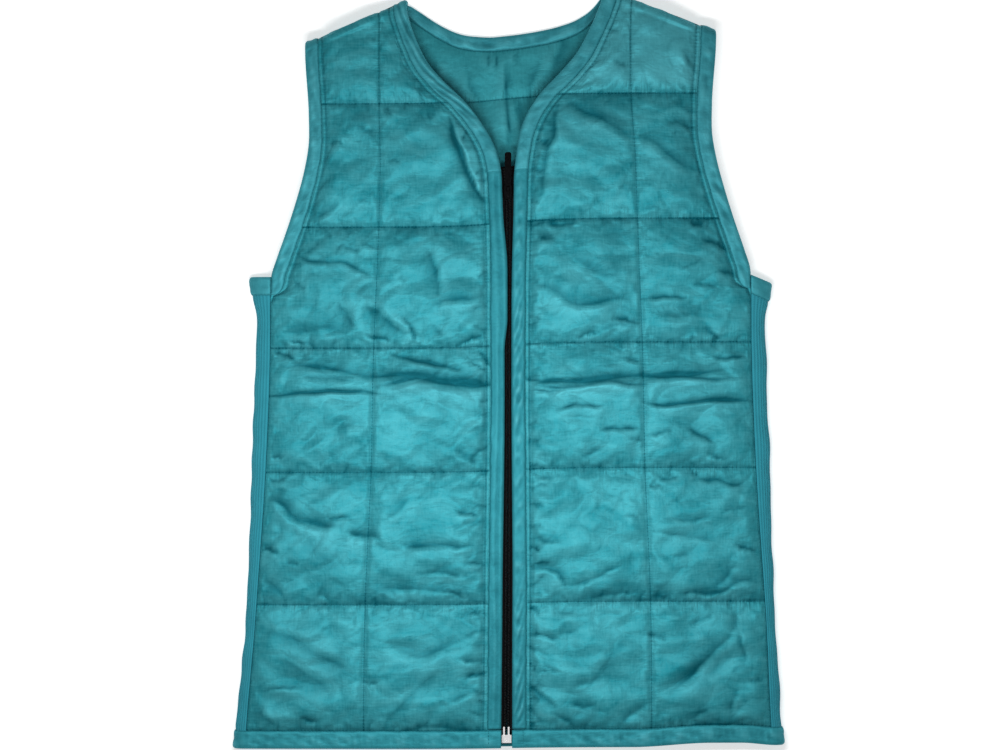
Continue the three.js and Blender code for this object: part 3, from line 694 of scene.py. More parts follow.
def settled(points, held, taut):
    """The cloth after it has found its own folds: held by its seams and wadding, and a little too large."""
    rows, columns = points.shape[:2]
    faces = grid_faces(rows, columns).reshape(-1, 4).tolist()
    mesh = bpy.data.meshes.new("settling")
    mesh.from_pydata((points.reshape(-1, 3) * MM).tolist(), [], faces)
    sheet = bpy.data.objects.new("settling", mesh)
    bpy.context.scene.collection.objects.link(sheet)
    for name, weights in (("held", held), ("taut", taut)):
        group = sheet.vertex_groups.new(name=name)
        for i, weight in enumerate(weights.ravel().tolist()):
            group.add([i], weight, "REPLACE")
    cloth = sheet.modifiers.new("settle", "CLOTH")
    cloth.settings.quality = 6
    cloth.settings.mass = 0.1
    cloth.settings.tension_stiffness = 25
    cloth.settings.compression_stiffness = 25
    cloth.settings.shear_stiffness = 8
    cloth.settings.bending_stiffness = 0.5
    cloth.settings.air_damping = 4
    cloth.settings.vertex_group_mass = "held"
    cloth.settings.pin_stiffness = 1
    cloth.settings.vertex_group_shrink = "taut"
    cloth.settings.shrink_min = -SPARE_CLOTH
    cloth.settings.shrink_max = 0
    cloth.settings.effector_weights.gravity = 0
    cloth.collision_settings.use_collision = False
    cloth.point_cache.frame_end = SETTLE_FRAMES
    for moment in range(1, SETTLE_FRAMES + 1):
        bpy.context.scene.frame_set(moment)
    seen = sheet.evaluated_get(bpy.context.evaluated_depsgraph_get())
    moved = np.zeros(rows * columns * 3, np.float32)
    seen.data.vertices.foreach_get("co", moved)
    bpy.context.scene.frame_set(1)
    bpy.data.objects.remove(sheet)
    bpy.data.meshes.remove(mesh)
    shift = moved.reshape(points.shape) / MM - points
    far = np.linalg.norm(shift, axis=-1, keepdims=True)
    return points + shift * np.minimum(1, SETTLE_CAP / np.maximum(far, 1e-6))


def finer(grid):
    """A grid of vectors with one more row and column between each two, on smooth curves."""
    for axis in (0, 1):
        grid = np.moveaxis(grid, axis, 0)
        padded = np.concatenate([2 * grid[:1] - grid[1:2], grid, 2 * grid[-1:] - grid[-2:-1]])
        middle = (9 * (padded[1:-2] + padded[2:-1]) - padded[:-3] - padded[3:]) / 16
        made = np.empty((2 * len(grid) - 1, *grid.shape[1:]))
        made[::2] = grid
        made[1::2] = middle
        grid = np.moveaxis(made, 0, axis)
    return grid


# Folds that lying folded has left in each front, as for the lining.
RIGHT_FOLDS = [
    (1.5, 3, [(-179, 101), (-171, 93), (-160, 90), (-137, 90), (-124, 84), (-113, 76)]),
    (1, 3, [(-146, 98), (-139, 104), (-133, 102), (-123, 99)]),
    (0.8, 4, [(-172, 97), (-162, 103), (-156, 108)]),
    (0.9, 3, [(-124, 106), (-116, 104), (-108, 101)]),
    (1.5, -9, [(-143, 56), (-136, 47), (-131, 39), (-126, 33)]),
    (1.2, 12, [(-190, 31), (-175, 32), (-156, 35), (-137, 33)]),
    (1.8, -8, [(-124, 51), (-118, 52), (-109, 48), (-101, 41), (-92, 33), (-86, 27)]),
    (1, 3, [(-91, 49), (-82, 36), (-77, 22)]),
    (1.8, -9, [(-69, 105), (-63, 91), (-60, 76), (-57, 61)]),
    (1.8, 8, [(-66, 54), (-53, 58), (-39, 59), (-25, 61), (-18, 64)]),
    (1.6, 3, [(-45, 20), (-35, 24), (-28, 27), (-18, 28)]),
    (1.2, -6, [(-63, 38), (-55, 27)]),
    (1.3, 4, [(-187, 25), (-175, 23), (-160, 19)]),
    (1.2, -5, [(-180, 75), (-170, 67)]),
    (0.8, -8, [(-131, 58), (-118, 71), (-109, 74)]),
    (1.2, 4, [(-121, 27), (-108, 27), (-97, 23)]),
    (0.6, 3, [(-104, 75), (-81, 77)]),
    (1.5, 4, [(-197, 17), (-187, 12), (-176, 7)]),
    (1.9, 7, [(-195, 1), (-171, 3), (-153, 1), (-131, -2), (-113, -6), (-92, -4), (-70, -6)]),
    (1, 6, [(-175, -4), (-155, -7), (-129, -8)]),
    (2.3, 3, [(-206, -22), (-178, -20), (-158, -19), (-133, -18), (-118, -18), (-102, -21)]),
    (2.4, 9, [(-116, -15), (-91, -10), (-77, -7), (-55, -11), (-40, -12), (-8, -13)]),
    (1.5, 14, [(-86, -8), (-55, -11), (-40, -12), (-2, -13)]),
    (2, 4, [(-101, 15), (-77, 7), (-57, 4), (-38, 0)]),
    (1.4, 3, [(-25, 17), (-20, 10), (-14, 1)]),
    (0.9, 3, [(-84, 38), (-80, 31), (-77, 23)]),
    (1.2, 4, [(-200, -72), (-188, -75)]),
    (1.2, 6, [(-45, -67), (-35, -73), (-26, -80)]),
    (0.7, 7, [(-146, -51), (-133, -46), (-118, -44)]),
    (
        2.2,
        10,
        [(-205, -112), (-195, -110), (-188, -114), (-182, -122), (-173, -126), (-156, -131), (-137, -131)],
    ),
    (2, 9, [(-138, -135), (-128, -138), (-118, -139), (-106, -141)]),
    (1.2, 3, [(-151, -125), (-141, -124), (-130, -124)]),
    (1.8, 6, [(-93, -143), (-84, -147), (-74, -148), (-57, -147), (-40, -148), (-27, -146)]),
    (1, -7, [(-82, -105), (-91, -117), (-102, -125)]),
    (1.7, 4, [(-44, -120), (-34, -120), (-24, -124)]),
    (1.4, 3, [(-38, -164), (-28, -162), (-18, -164)]),
    (1.7, 4, [(-207, -151), (-200, -151), (-193, -154)]),
    (1, 4, [(-186, -163), (-175, -162)]),
    (0.9, -12, [(-171, -135), (-164, -147), (-154, -158), (-137, -168)]),
    (1.2, -8, [(-205, -176), (-196, -181), (-188, -192)]),
    (1.5, 9, [(-113, -183), (-82, -183), (-53, -186), (-30, -188)]),
    (1.2, 6, [(-80, -171), (-53, -170), (-30, -175)]),
    (0.9, 3, [(-202, -93), (-186, -93)]),
    (1, 6, [(-160, -187), (-148, -193)]),
    (1.3, -10, [(-207, -221), (-189, -222), (-175, -228), (-161, -239), (-143, -247), (-126, -256)]),
    (1.2, -12, [(-197, -244), (-181, -247), (-171, -255), (-156, -265), (-144, -276)]),
    (1.1, 3, [(-207, -270), (-192, -267), (-171, -266)]),
    (1.4, 4, [(-176, -292), (-160, -296)]),
    (1.3, 3, [(-123, -261), (-114, -263), (-108, -262)]),
    (1.5, 12, [(-103, -227), (-89, -236), (-74, -240), (-57, -235), (-42, -227), (-25, -222)]),
    (0.9, -6, [(-106, -298), (-91, -283), (-72, -264), (-55, -250)]),
    (1.2, 7, [(-55, -281), (-40, -274), (-24, -268)]),
    (1.6, 4, [(-42, -242), (-32, -244), (-19, -245)]),
    (1.7, 4, [(-37, -259), (-28, -256), (-18, -254)]),
    (1.3, 3, [(-39, -207), (-29, -204), (-18, -204)]),
    (1.5, 6, [(-92, -303), (-70, -300), (-40, -301), (-18, -303)]),
    (1.2, -6, [(-211, -282), (-203, -293), (-196, -300)]),
    (3.2, -5, [(-50, 216), (-45, 197), (-39, 180), (-34, 166), (-26, 151), (-19, 138)]),
    (1.5, -8, [(-128, 205), (-118, 201), (-107, 201)]),
    (1.2, 3, [(-152, 190), (-139, 191)]),
    (1.3, -5, [(-102, 222), (-99, 213)]),
    (0.8, 3, [(-69, 219), (-64, 208)]),
    (0.7, 3, [(-74, 242), (-73, 223)]),
    (1.2, 6, [(-165, 127), (-150, 133), (-142, 141)]),
    (0.9, 4, [(-128, 143), (-114, 140)]),
    (0.8, 2, [(-101, 175), (-90, 176)]),
    (0.9, 2, [(-29, 166), (-17, 167)]),
    (0.9, 2, [(-26, 158), (-16, 159)]),
    (0.7, 4, [(-120, 280), (-108, 277)]),
]
LEFT_FOLDS = [
    (2.4, 8, [(22, -10), (56, -9), (74, -8), (92, -6), (109, -5), (129, -7), (150, -4), (190, 2)]),
    (1.4, 3, [(10, -8), (27, -9), (50, -9)]),
    (1.3, 3, [(114, -5), (131, -4), (161, -7), (200, -7)]),
    (1.5, 5, [(17, -12), (35, -14), (57, -14), (81, -10), (102, -12), (129, -11)]),
    (1.1, 2, [(17, -17), (31, -18), (45, -17)]),
    (2.4, 4, [(110, -26), (128, -29), (161, -27), (186, -25), (212, -27)]),
    (1.4, 3, [(40, -33), (52, -30), (81, -30)]),
    (1.7, 3, [(76, -51), (89, -49), (112, -49)]),
    (1.3, 3, [(115, -56), (126, -53), (139, -51)]),
    (1.6, 4, [(149, -49), (160, -54), (172, -62)]),
    (1.4, 4, [(166, -70), (182, -76)]),
    (1.6, 4, [(171, 12), (180, 10), (202, 12)]),
    (1.1, 3, [(97, 12), (104, 8), (113, 8)]),
    (1.2, 3, [(56, 26), (67, 31), (77, 32)]),
    (1.5, -4, [(165, 37), (171, 31), (179, 25)]),
    (1, 5, [(63, -72), (78, -66)]),
    (1, 3, [(102, -57), (115, -60)]),
    (1.2, 5, [(24, 111), (32, 110), (39, 111)]),
    (1.4, 12, [(45, 106), (56, 94), (69, 85), (86, 79), (106, 82)]),
    (1.8, 8, [(18, 72), (32, 70), (40, 66), (49, 59), (69, 55), (87, 59), (108, 59)]),
    (1.7, 3, [(111, 60), (128, 61), (152, 61)]),
    (1.7, 4, [(87, 44), (98, 42), (111, 39)]),
    (0.9, 5, [(76, 33), (90, 38), (106, 36)]),
    (1.2, 12, [(123, 48), (144, 46), (166, 49)]),
    (1.6, 5, [(162, 109), (175, 106), (186, 97)]),
    (1.4, 5, [(174, 84), (188, 80), (198, 72)]),
    (0.7, 3, [(144, 84), (155, 89), (164, 94)]),
    (0.8, 3, [(153, 73), (171, 71), (181, 75)]),
    (1.2, 4, [(29, 123), (45, 122), (58, 123)]),
    (1.2, 4, [(152, 124), (164, 120)]),
    (1.1, 4, [(23, -91), (34, -91), (44, -88)]),
    (1.2, 3, [(124, -88), (134, -92), (144, -89)]),
    (1.4, 3, [(153, -83), (160, -91)]),
    (1.6, 4, [(154, -91), (168, -93), (178, -92), (189, -97), (200, -94)]),
    (0.9, 3, [(117, -98), (129, -97)]),
    (1, 3, [(99, -120), (110, -125)]),
    (1.2, 5, [(133, -125), (153, -126), (171, -123)]),
    (1, 5, [(118, -135), (136, -137), (157, -141), (176, -142)]),
    (0.8, 4, [(178, -120), (191, -116), (202, -115)]),
    (1.7, 4, [(190, -145), (199, -150), (209, -151)]),
    (1.5, 3, [(17, -149), (28, -151)]),
    (1.1, 4, [(23, -144), (45, -143)]),
    (1.7, 6, [(17, -168), (29, -166), (39, -168), (45, -176), (50, -187)]),
    (1, 3, [(51, -183), (69, -176), (86, -168), (100, -162)]),
    (1.4, 10, [(55, -193), (77, -189), (112, -186)]),
    (1.8, 7, [(139, -188), (157, -187), (171, -188), (181, -185), (188, -180), (203, -177), (211, -180)]),
    (1.2, 9, [(172, -184), (183, -173), (192, -161)]),
    (1.2, 6, [(119, -190), (138, -191)]),
    (0.9, 3, [(139, -156), (153, -155)]),
    (1.5, 4, [(16, -222), (27, -222), (35, -225), (45, -225)]),
    (0.9, 5, [(42, -222), (58, -219)]),
    (1.1, 4, [(15, -230), (25, -238)]),
    (1.2, 4, [(17, -246), (24, -251)]),
    (1, 4, [(30, -247), (42, -255)]),
    (1.6, -5, [(15, -262), (24, -269), (33, -277), (42, -285)]),
    (1.2, -6, [(17, -279), (24, -291), (32, -298)]),
    (1.2, 5, [(34, -287), (44, -291), (55, -298)]),
    (1.2, 4, [(18, -198), (28, -206)]),
    (0.9, 4, [(39, -203), (50, -204), (60, -200)]),
    (1.4, 6, [(50, -279), (60, -282), (75, -280)]),
    (1.1, 8, [(52, -265), (67, -262), (79, -258)]),
    (1.1, -10, [(71, -261), (84, -244), (94, -229), (104, -221)]),
    (1.2, 4, [(115, -223), (124, -223), (134, -228)]),
    (2, -12, [(187, -220), (174, -235), (161, -247), (149, -260), (134, -273)]),
    (1, -5, [(187, -203), (192, -209), (186, -221)]),
    (1, 6, [(151, -214), (165, -209), (173, -202)]),
    (1.2, -4, [(193, -219), (196, -231), (200, -246)]),
    (0.8, 4, [(199, -246), (186, -255)]),
    (1.2, -6, [(192, -268), (188, -280), (186, -290)]),
    (1.5, 7, [(151, -301), (165, -297), (178, -299), (191, -297), (203, -299)]),
    (1.2, 8, [(143, -299), (161, -288), (173, -281)]),
    (1.2, 8, [(92, -299), (104, -288), (117, -279)]),
    (0.9, 3, [(201, -261), (214, -261)]),
    (1.9, 9, [(45, 229), (60, 219), (77, 211), (94, 201), (106, 197)]),
    (1.6, 9, [(108, 197), (119, 193), (132, 183), (144, 174), (166, 164)]),
    (1.6, -6, [(45, 231), (39, 213), (38, 196), (33, 183), (30, 163), (25, 140)]),
    (0.9, 4, [(88, 260), (102, 253)]),
    (0.9, 3, [(83, 285), (94, 285)]),
    (1, 5, [(146, 270), (154, 255), (160, 247)]),
    (1, 5, [(137, 227), (148, 220), (159, 213)]),
    (1.3, 4, [(134, 208), (146, 206), (160, 200)]),
    (0.8, 3, [(137, 199), (150, 199)]),
    (1, 3, [(114, 136), (129, 136)]),
    (1, 6, [(93, 155), (103, 148)]),
    (1.2, 5, [(25, 191), (34, 187)]),
    (0.9, 2, [(16, 167), (32, 167)]),
]


# How shaded the cloth is just above and just below each row, from the hem up.
ABOVE_ROWS = (0.45, 0.42, 0.34, 0.2, 0.0, 0.0)
BELOW_ROWS = (0.0, 0.0, 0.06, 0.1, 0.42, 0.28)
SHADE_REACH = 11.0
SIDE_SHADE = 0.08
SHOULDER_LIGHT = 0.34
FOLD_DEPTH = 1.3
CRUMPLE = 0.68
BEAD = 0.7
DITCH = 0.5
DITCH_HALF = 1.1


def puckers(line, turn, spacing, length, depth, lean, seed):
    """Short folds that run off a stitched line on one side, as rows of folds."""
    draw = np.random.default_rng(seed)
    run = run_along(line)
    made = []
    place = draw.uniform(0, spacing)
    while place < run[-1]:
        i = np.clip(np.searchsorted(run, place), 1, len(run) - 1)
        start = np.array([np.interp(place, run, line[:, k]) for k in (0, 1)])
        ahead = line[i] - line[i - 1]
        heading = np.arctan2(ahead[1], ahead[0]) + turn + draw.normal(0, lean)
        way = np.array([np.cos(heading), np.sin(heading)])
        reach = length * draw.uniform(0.4, 1.4)
        slope = draw.uniform(2.0, 3.5) * draw.choice([-1, 1])
        made.append((depth * draw.uniform(0.4, 1.3), slope, [start - 2 * way, start + reach * way]))
        place += spacing * draw.uniform(0.5, 1.6)
    return made


def around(ids):
    """The outer points of a grid, once round."""
    return np.concatenate([ids[0, :-1], ids[:-1, -1], ids[-1, :0:-1], ids[:0:-1, 0]])


fine_columns = halved(front_columns).tolist()
fine_rows = halved(front_rows).tolist()
BAND_COLUMN = fine_columns.index(2)
BAND_ROWS = slice(8, -60)


def settled_front(at, out, half):
    """How far the cloth of a front lies from its plain shape once it has settled, on the finer grid."""
    u, v = np.meshgrid(front_columns, front_rows)
    x, y, along, upright, sides = front_seams(u, v)
    nearest = np.minimum(along, np.minimum(upright, sides))
    lift = HALF_MARGIN + FRONT_LOFT * front_lift(v, along, upright, sides) * (v > 0)
    rough = 0.45 * waves(x * half, y, 46, 11 + half) + 0.4 * waves(x * half, y, 27, 13 + half, 20, 1.5)
    rough = (rough + 0.12 * waves(x * half, y, 15, 15 + half)) * smooth(0, SEAM_CALM, nearest) * (v > 0)
    base = at(u, v)
    start = base + out(u, v) * (lift + rough)[..., None]
    stitched = (nearest < STITCH_REACH) | (u <= 2) | (u >= 5) | (v <= 0) | (v >= 6.9)
    held = np.where(stitched, 1.0, WADDING_HOLD)
    taut = TAUTNESS * (1 - np.exp(-np.minimum(along, sides) / SEAM_CALM))
    moved = settled(start, held, taut)
    return finer(moved - base)


def seam_puckers(face, half):
    """The puckers off the band's stitch line and off both sides of each row, above the hem's row only."""
    line = face[BAND_ROWS, BAND_COLUMN, :2]
    turn = -half * np.pi / 2
    made = puckers(line, turn, spacing=14, length=15, depth=0.9, lean=0.35, seed=21 + half)
    for row in range(6):
        line = face[fine_rows.index(row), BAND_COLUMN:-BAND_COLUMN, :2]
        for way in (1, -1):
            if row or way == half:
                turn = way * np.pi / 2
                made += puckers(line, turn, spacing=13, length=9, depth=0.6, lean=0.4, seed=31 + row + way)
    return made


def crumpled(x, y, half):
    """The crumpled surface of a front's cells: how it rises, and how shaded its creases are."""
    creased = np.abs(waves(x * half, 1.3 * y, 44, 17 + half, 7))
    finely = np.abs(waves(x * half, 1.2 * y, 23, 19 + half, 9))
    patchy = smooth(-0.6, 1.2, waves(x * half, y, 110, 23 + half, 5))
    calmer = 1 - 0.45 * smooth(110, 180, y)
    rise = CRUMPLE * calmer * (creased + 0.45 * finely * patchy - 0.9)
    return rise, 0.14 * np.exp(-((creased / 0.14) ** 2))


def shaded_by_rows(deep, x, y, half):
    """The shade of a front with that beside each stitched row added, which ends raggedly."""
    ragged = 0.55 + 0.45 * waves(x * half, 0.5 * y, 60, 25 + half, 9)
    reach = SHADE_REACH * (0.35 + np.clip(ragged, 0, 1.6))
    for row, above, below in zip(ROWS, ABOVE_ROWS, BELOW_ROWS):
        off = y - row
        shade = np.where(off > 0, above, below) * np.exp(-np.abs(off) / reach)
        deep = deep + shade * np.clip(ragged, 0.15, 1.3)
    return deep


def front_faces(fine, coarse):
    """The faces of a front, from the shapes of its two grids: its cloth, its coarser lining and the rim."""
    count = fine[0] * fine[1]
    faces = grid_faces(*fine).reshape(-1, 4).tolist()
    faces += grid_faces(*coarse, count).reshape(-1, 4)[:, ::-1].tolist()
    rim = around(np.arange(count).reshape(fine)).tolist()
    inner_rim = around(np.arange(coarse[0] * coarse[1]).reshape(coarse) + count).tolist()
    for k, corner in enumerate(inner_rim):
        after, later = (2 * k + 2) % len(rim), (k + 1) % len(inner_rim)
        faces.append([rim[after], rim[2 * k + 1], rim[2 * k], corner, inner_rim[later]])
    return faces


front_quilts = {}
for half, name, folds in ((RIGHT, "right_front_panel", RIGHT_FOLDS), (LEFT, "left_front_panel", LEFT_FOLDS)):
    at, out = layer(front_point, half, 1)
    u, v = np.meshgrid(fine_columns, fine_rows)
    normal = out(u, v)
    face = at(u, v) + settled_front(at, out, half)
    x, y, along, upright, sides = front_seams(u, v)
    across = np.minimum(upright, sides)
    nearest = np.minimum(along, across)
    flat = face[..., 0], face[..., 1]
    rise, deep, lit = folded(*flat, folds, 41 + half)
    small_rise, small_deep, small_lit = folded(*flat, seam_puckers(face, half), 51 + half)
    crumple, crease = crumpled(x, y, half)
    rise = FOLD_DEPTH * rise * smooth(0, 3, np.minimum(along, sides)) + small_rise * smooth(0, 3, nearest)
    rise = (rise + crumple * smooth(0, 12, nearest)) * (v > 0)
    # Painted shade in the folds, puckers, creases, beside the rows and towards the sides, and a painted
    # highlight beside the folds and on the top of the wearer's left front.
    deep = deep + small_deep + crease * smooth(2, 8, along)
    deep = shaded_by_rows(deep, x, y, half) + SIDE_SHADE * smooth(115, 165, x) * smooth(5, 4, v)
    lit = lit + small_lit + SHOULDER_LIGHT * (half == LEFT) * smooth(5, 5.2, v)
    inner_bead = np.sin(np.pi * np.clip(u - 1, 0, 1))
    outer_bead = smooth(68, 80, y) * np.sin(np.pi * np.clip(u - 4, 0, 1))
    rise = rise + BEAD * np.where(u < 3, inner_bead, outer_bead) * (v > 0) * (v < 6)
    ditch = np.exp(-((along / DITCH_HALF) ** 2)) + np.exp(-((across / DITCH_HALF) ** 2))
    ditch = DITCH * ditch * (u > 1.2) * (u < 5.8)
    face = face + normal * rise[..., None] - normal * ditch[..., None]
    depth = HALF_MARGIN + LINING_LOFT * puff(across) * puff(along) * (v > 0)
    lining = (at(u, v) - normal * depth[..., None])[::2, ::2]
    faces = front_faces(u.shape, lining.shape[:2])
    panel = add_mesh(name + "_quilt", rows_of(face, lining), faces, quilt_cloth)
    weave = np.stack([half * x, y, 0 * x], -1)
    seam = np.stack([along, np.abs(across), 0 * x], -1)
    deep = np.stack([np.clip(deep, 0, DEEPEST), np.clip(lit, 0, BRIGHTEST), 0 * deep], -1)
    note(panel, "weave", rows_of(weave, weave[::2, ::2]))
    note(panel, "seam", rows_of(seam, seam[::2, ::2]))
    note(panel, "deep", rows_of(deep, 0 * deep[::2, ::2]), 1)
    sew_in(panel, name)
    front_quilts[half] = face, normal

# Quilting stitches: lines of teal thread through both layers, along the rows, the upright seams and the
# second line of every bound edge. Each stitch is a short bead of thread whose ends dive into the cloth.
STITCH_SHARE = 0.82
THREAD_HALF = 0.24
# Share of a stitch, share of the thread's thickness, and how far it stands off the cloth.
STITCH_SHAPE = [(0.0, 0.0, -0.3), (0.14, 0.8, 0.0), (0.5, 1.0, 0.16), (0.86, 0.8, 0.0), (1.0, 0.0, -0.3)]


def on_piece(tree):
    return node(tree, "ShaderNodeTexCoord", {}).outputs["Object"]


def slanted(tree, place, scale, distortion):
    inputs = {"Vector": place, "Scale": scale, "Distortion": distortion}
    return node(tree, "ShaderNodeTexWave", inputs, bands_direction="DIAGONAL").outputs["Fac"]


def thread_of(name, pale, deep):
    """Twisted cotton thread: a fine slanted twist and a slightly uneven dye."""
    material, tree, shader = surface(name)
    place = on_piece(tree)
    inputs = {
        "Base Color": blend(tree, speckle(tree, place, 300, 2), deep, pale),
        "Normal": relief(tree, slanted(tree, place, 900, 2), 0.4, 0.0002),
        "Roughness": 0.6,
        "Specular IOR Level": 0.1,
    }
    feed(tree, shader, inputs)
    return material


def sewn(name, lines, thread, pitch=STITCH_PITCH):
    """All the stitches along some lines of points and normals, as one mesh."""
    made = []
    for line, out in lines:
        run = run_along(line)
        starts = np.arange(0.5, run[-1] - pitch, pitch)
        shares, sizes, rises = np.array(STITCH_SHAPE).T
        places = starts[:, None] + shares * STITCH_SHARE * pitch
        spot = np.stack([np.interp(places, run, line[:, k]) for k in range(3)], -1)
        up = np.stack([np.interp(places, run, out[:, k]) for k in range(3)], -1)
        up = up / np.linalg.norm(up, axis=-1, keepdims=True)
        heading = spot[:, -1:] - spot[:, :1]
        across = np.cross(up, heading)
        across = across / np.linalg.norm(across, axis=-1, keepdims=True)
        spot = spot + up * rises[:, None]
        ring = [across, up, -across, -up]
        rings = np.stack([spot + THREAD_HALF * sizes[:, None] * way for way in ring], 2)[:, 1:-1]
        made.append(np.concatenate([spot[:, :1], rings.reshape(len(starts), -1, 3), spot[:, -1:]], 1))
    stitches = np.concatenate(made)
    count = stitches.shape[1]
    last = count - 1
    tips, sides = [], []
    for k in range(4):
        after = (k + 1) % 4
        tips += [(0, 1 + after, 1 + k), (last, last - 4 + k, last - 4 + after)]
        sides += [(low + k, low + after, low + 4 + after, low + 4 + k) for low in (1, 5)]
    firsts = np.arange(len(stitches))[:, None, None] * count
    faces = (firsts + np.array(tips)).reshape(-1, 3).tolist()
    faces += (firsts + np.array(sides)).reshape(-1, 4).tolist()
    piece = add_mesh(name, stitches, faces, thread)
    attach(piece, "vest")
    return piece


quilt_thread = thread_of("quilt_thread", colour(34, 126, 138), colour(18, 98, 110))
seam, outer, edge = (fine_columns.index(k) for k in (3, 4, 6))
hem_row, shoulder = fine_rows.index(0), fine_rows.index(7)
armhole = int(np.searchsorted(fine_rows, UNDERARM + 0.05))
for half, name in ((RIGHT, "right"), (LEFT, "left")):
    places = []
    for row in range(1, 6):
        places.append((fine_rows.index(row), slice(BAND_COLUMN, outer if row > 3 else edge)))
    places += [(slice(hem_row, shoulder), seam), (slice(hem_row, shoulder), BAND_COLUMN)]
    places.append((slice(armhole, shoulder), outer))
    face, normal = front_quilts[half]
    lines = [(face[place], normal[place]) for place in places]
    sewn(name + "_front_stitches", lines, quilt_thread)


def straight_up(count):
    return np.tile([0.0, 0.0, 1.0], (count, 1))


middle = len(half_columns) - 1
to_seam = int(np.argmin(np.abs(half_columns - 2)))
hem_row, neck_row = (int(np.argmin(np.abs(back_rows - row))) for row in (0, 6))
lining_lines = []
for column in (middle - to_seam, middle + to_seam):
    lining_lines.append((back_lining[hem_row:neck_row, column], straight_up(neck_row - hem_row)))
for row in range(1, 6):
    j = int(np.argmin(np.abs(back_rows - row)))
    lining_lines.append((back_lining[j], straight_up(back_lining.shape[1])))
sewn("lining_stitches", lining_lines, quilt_thread)

# Sides: a strip of teal rib knit from the front seam round to the back seam, its ribs lengthwise.
# It is sewn edge to edge with both panels, so the seam is a plain dark groove.
KNIT_HALF = 0.7
RIBS = 14
RIB_STEPS = 6
RIB_HEIGHT = 0.36
RIB_PITCH = 2.4
LOOP_PITCH = 1.5
SIDE_WIDTH = 36.0
SIDE_TOP = {RIGHT: 81.5, LEFT: 77.0}
TAB_SLANT = 6.5
SIDE_BULGE = [(-316, 8.6), (-194.5, 7.2), (-82.7, 11.2), (22.3, 11.6), (50, 11.4), (66, 14.6), (78, 16.0)]
bulge_at = curve_of(SIDE_BULGE)


def side_layer(half):
    """The knit of one side. On the wearer's left its top end has slipped down at the outside."""

    def point(a, y):
        a, y = np.broadcast_arrays(np.asarray(a, float), np.asarray(y, float))
        top = front_height(side_at(y), y)
        middle = (top + BACK_HEIGHT) / 2
        slip = TAB_SLANT * (half == LEFT) * np.sin(np.pi * np.clip(a, 0, 1)) * smooth(20, 66, y)
        x = side_at(y) + GAP / 2 + bulge_at(y) * np.sin(np.pi * a)
        return x, y - slip, middle + (top - middle) * np.cos(np.pi * a)

    return layer(point, half, 1)


def rib_knit(name, pale, deep):
    """Fine rib knit: small slanted loops up every rib, painted shade between the ribs, and a soft nap."""
    material, tree, shader = surface(name)
    place = kept(tree, "weave")
    across, length, _ = node(tree, "ShaderNodeSeparateXYZ", {0: place}).outputs
    leg = sums(tree, "PINGPONG", across, RIB_PITCH / 2 * MM)
    slope = sums(tree, "MULTIPLY_ADD", leg, 0.9, length)
    loops = sums(tree, "SINE", sums(tree, "MULTIPLY", slope, 2 * np.pi / (LOOP_PITCH * MM)))
    dye = speckle(tree, place, 60, 4)
    # Painted shade between the ribs, paler toward each rib's top.
    crest = spread(tree, leg, 0.0, 1.0, 0.0, RIB_PITCH / 2 * MM)
    tone = sums(tree, "MULTIPLY_ADD", crest, 0.6, sums(tree, "MULTIPLY", dye, 0.6))
    inputs = {
        "Base Color": blend(tree, tone, deep, pale),
        "Roughness": spread(tree, dye, 0.7, 0.95),
        "Normal": relief(tree, loops, 0.5, 0.0003),
        "Specular IOR Level": 0.15,
        "Sheen Weight": 0.08,
        "Sheen Tint": (0.3, 0.9, 1.0, 1.0),
    }
    feed(tree, shader, inputs)
    return material


knit = rib_knit("rib_knit", colour(50, 150, 167), colour(30, 116, 132))
side_layers = {half: side_layer(half) for half in (RIGHT, LEFT)}
for half, name in ((RIGHT, "right_side_panel"), (LEFT, "left_side_panel")):
    at, out = side_layers[half]
    top = SIDE_TOP[half]
    rib, y = np.meshgrid(np.linspace(0, 1, RIBS * RIB_STEPS + 1), np.linspace(HEM_EDGE, top, 132))
    free = smooth(-301, -298, y) * smooth(top - 14, top - 17, y)
    rise = RIB_HEIGHT * (0.5 - 0.5 * np.cos(2 * np.pi * RIBS * rib)) ** 0.8
    wander = 0.35 * waves(rib * 8, y, 40, 61 + half)
    normal = out(rib, y)
    outer = at(rib, y) + normal * (KNIT_HALF + free * (rise + wander))[..., None]
    inner = at(rib, y) + normal * (free * wander - KNIT_HALF)[..., None]
    whole = np.ones((rib.shape[0] - 1, rib.shape[1] - 1), bool)
    panel = add_mesh(name + "_knit", rows_of(outer, inner), shell_faces(whole), knit)
    weave = np.stack([rib * RIBS * RIB_PITCH, y, 0 * y], -1)
    note(panel, "weave", rows_of(weave, weave))
    sew_in(panel, name)
    flat = (SIDE_WIDTH * MM, (top - HEM_EDGE) * MM)

# Zip: two black woven tapes sewn under the fronts' edges, each with a nylon coil along its edge and its own
# line of thread. The coils mesh up the middle and part above the slider.
ZIP_HEIGHT = EDGE_HEIGHT + CROWN
STRIP_HALF = 2.1
TAPE_END = -304.9
TEETH_END = -298.3
ZIP_HEAD = 172.5
TAPE_TOP = ZIP_HEIGHT - STRIP_HALF - GAP
TEETH_TOP = TAPE_TOP - 0.2
TEETH_HIGH = 2.2
TEETH_HALF = 2.9
PARTED = 2.4
PART_FROM = 145.0
COIL_SEAT = TEETH_TOP - TEETH_HIGH - GAP
COIL_PITCH = 1.3
COIL_OVERLAP = 0.35
COIL_LEAN = 0.3
COIL_THREAD = 1.75
WIRE_HALF = 0.33
LOOP_STEPS = 12
WIRE_SIDES = 5
ZIP_BLACK = (0.0015, 0.0015, 0.002, 1)
TAPE_SECTION = [
    (0.5, COIL_SEAT - 0.8),
    (3.2, COIL_SEAT - 0.8),
    (6.6, TAPE_TOP - 0.8),
    (13, TAPE_TOP - 0.8),
    (13, TAPE_TOP),
    (6.3, TAPE_TOP),
    (3, COIL_SEAT),
    (0.5, COIL_SEAT),
]


def parted_at(y):
    return PARTED * smooth(PART_FROM, ZIP_HEAD + 8, y)


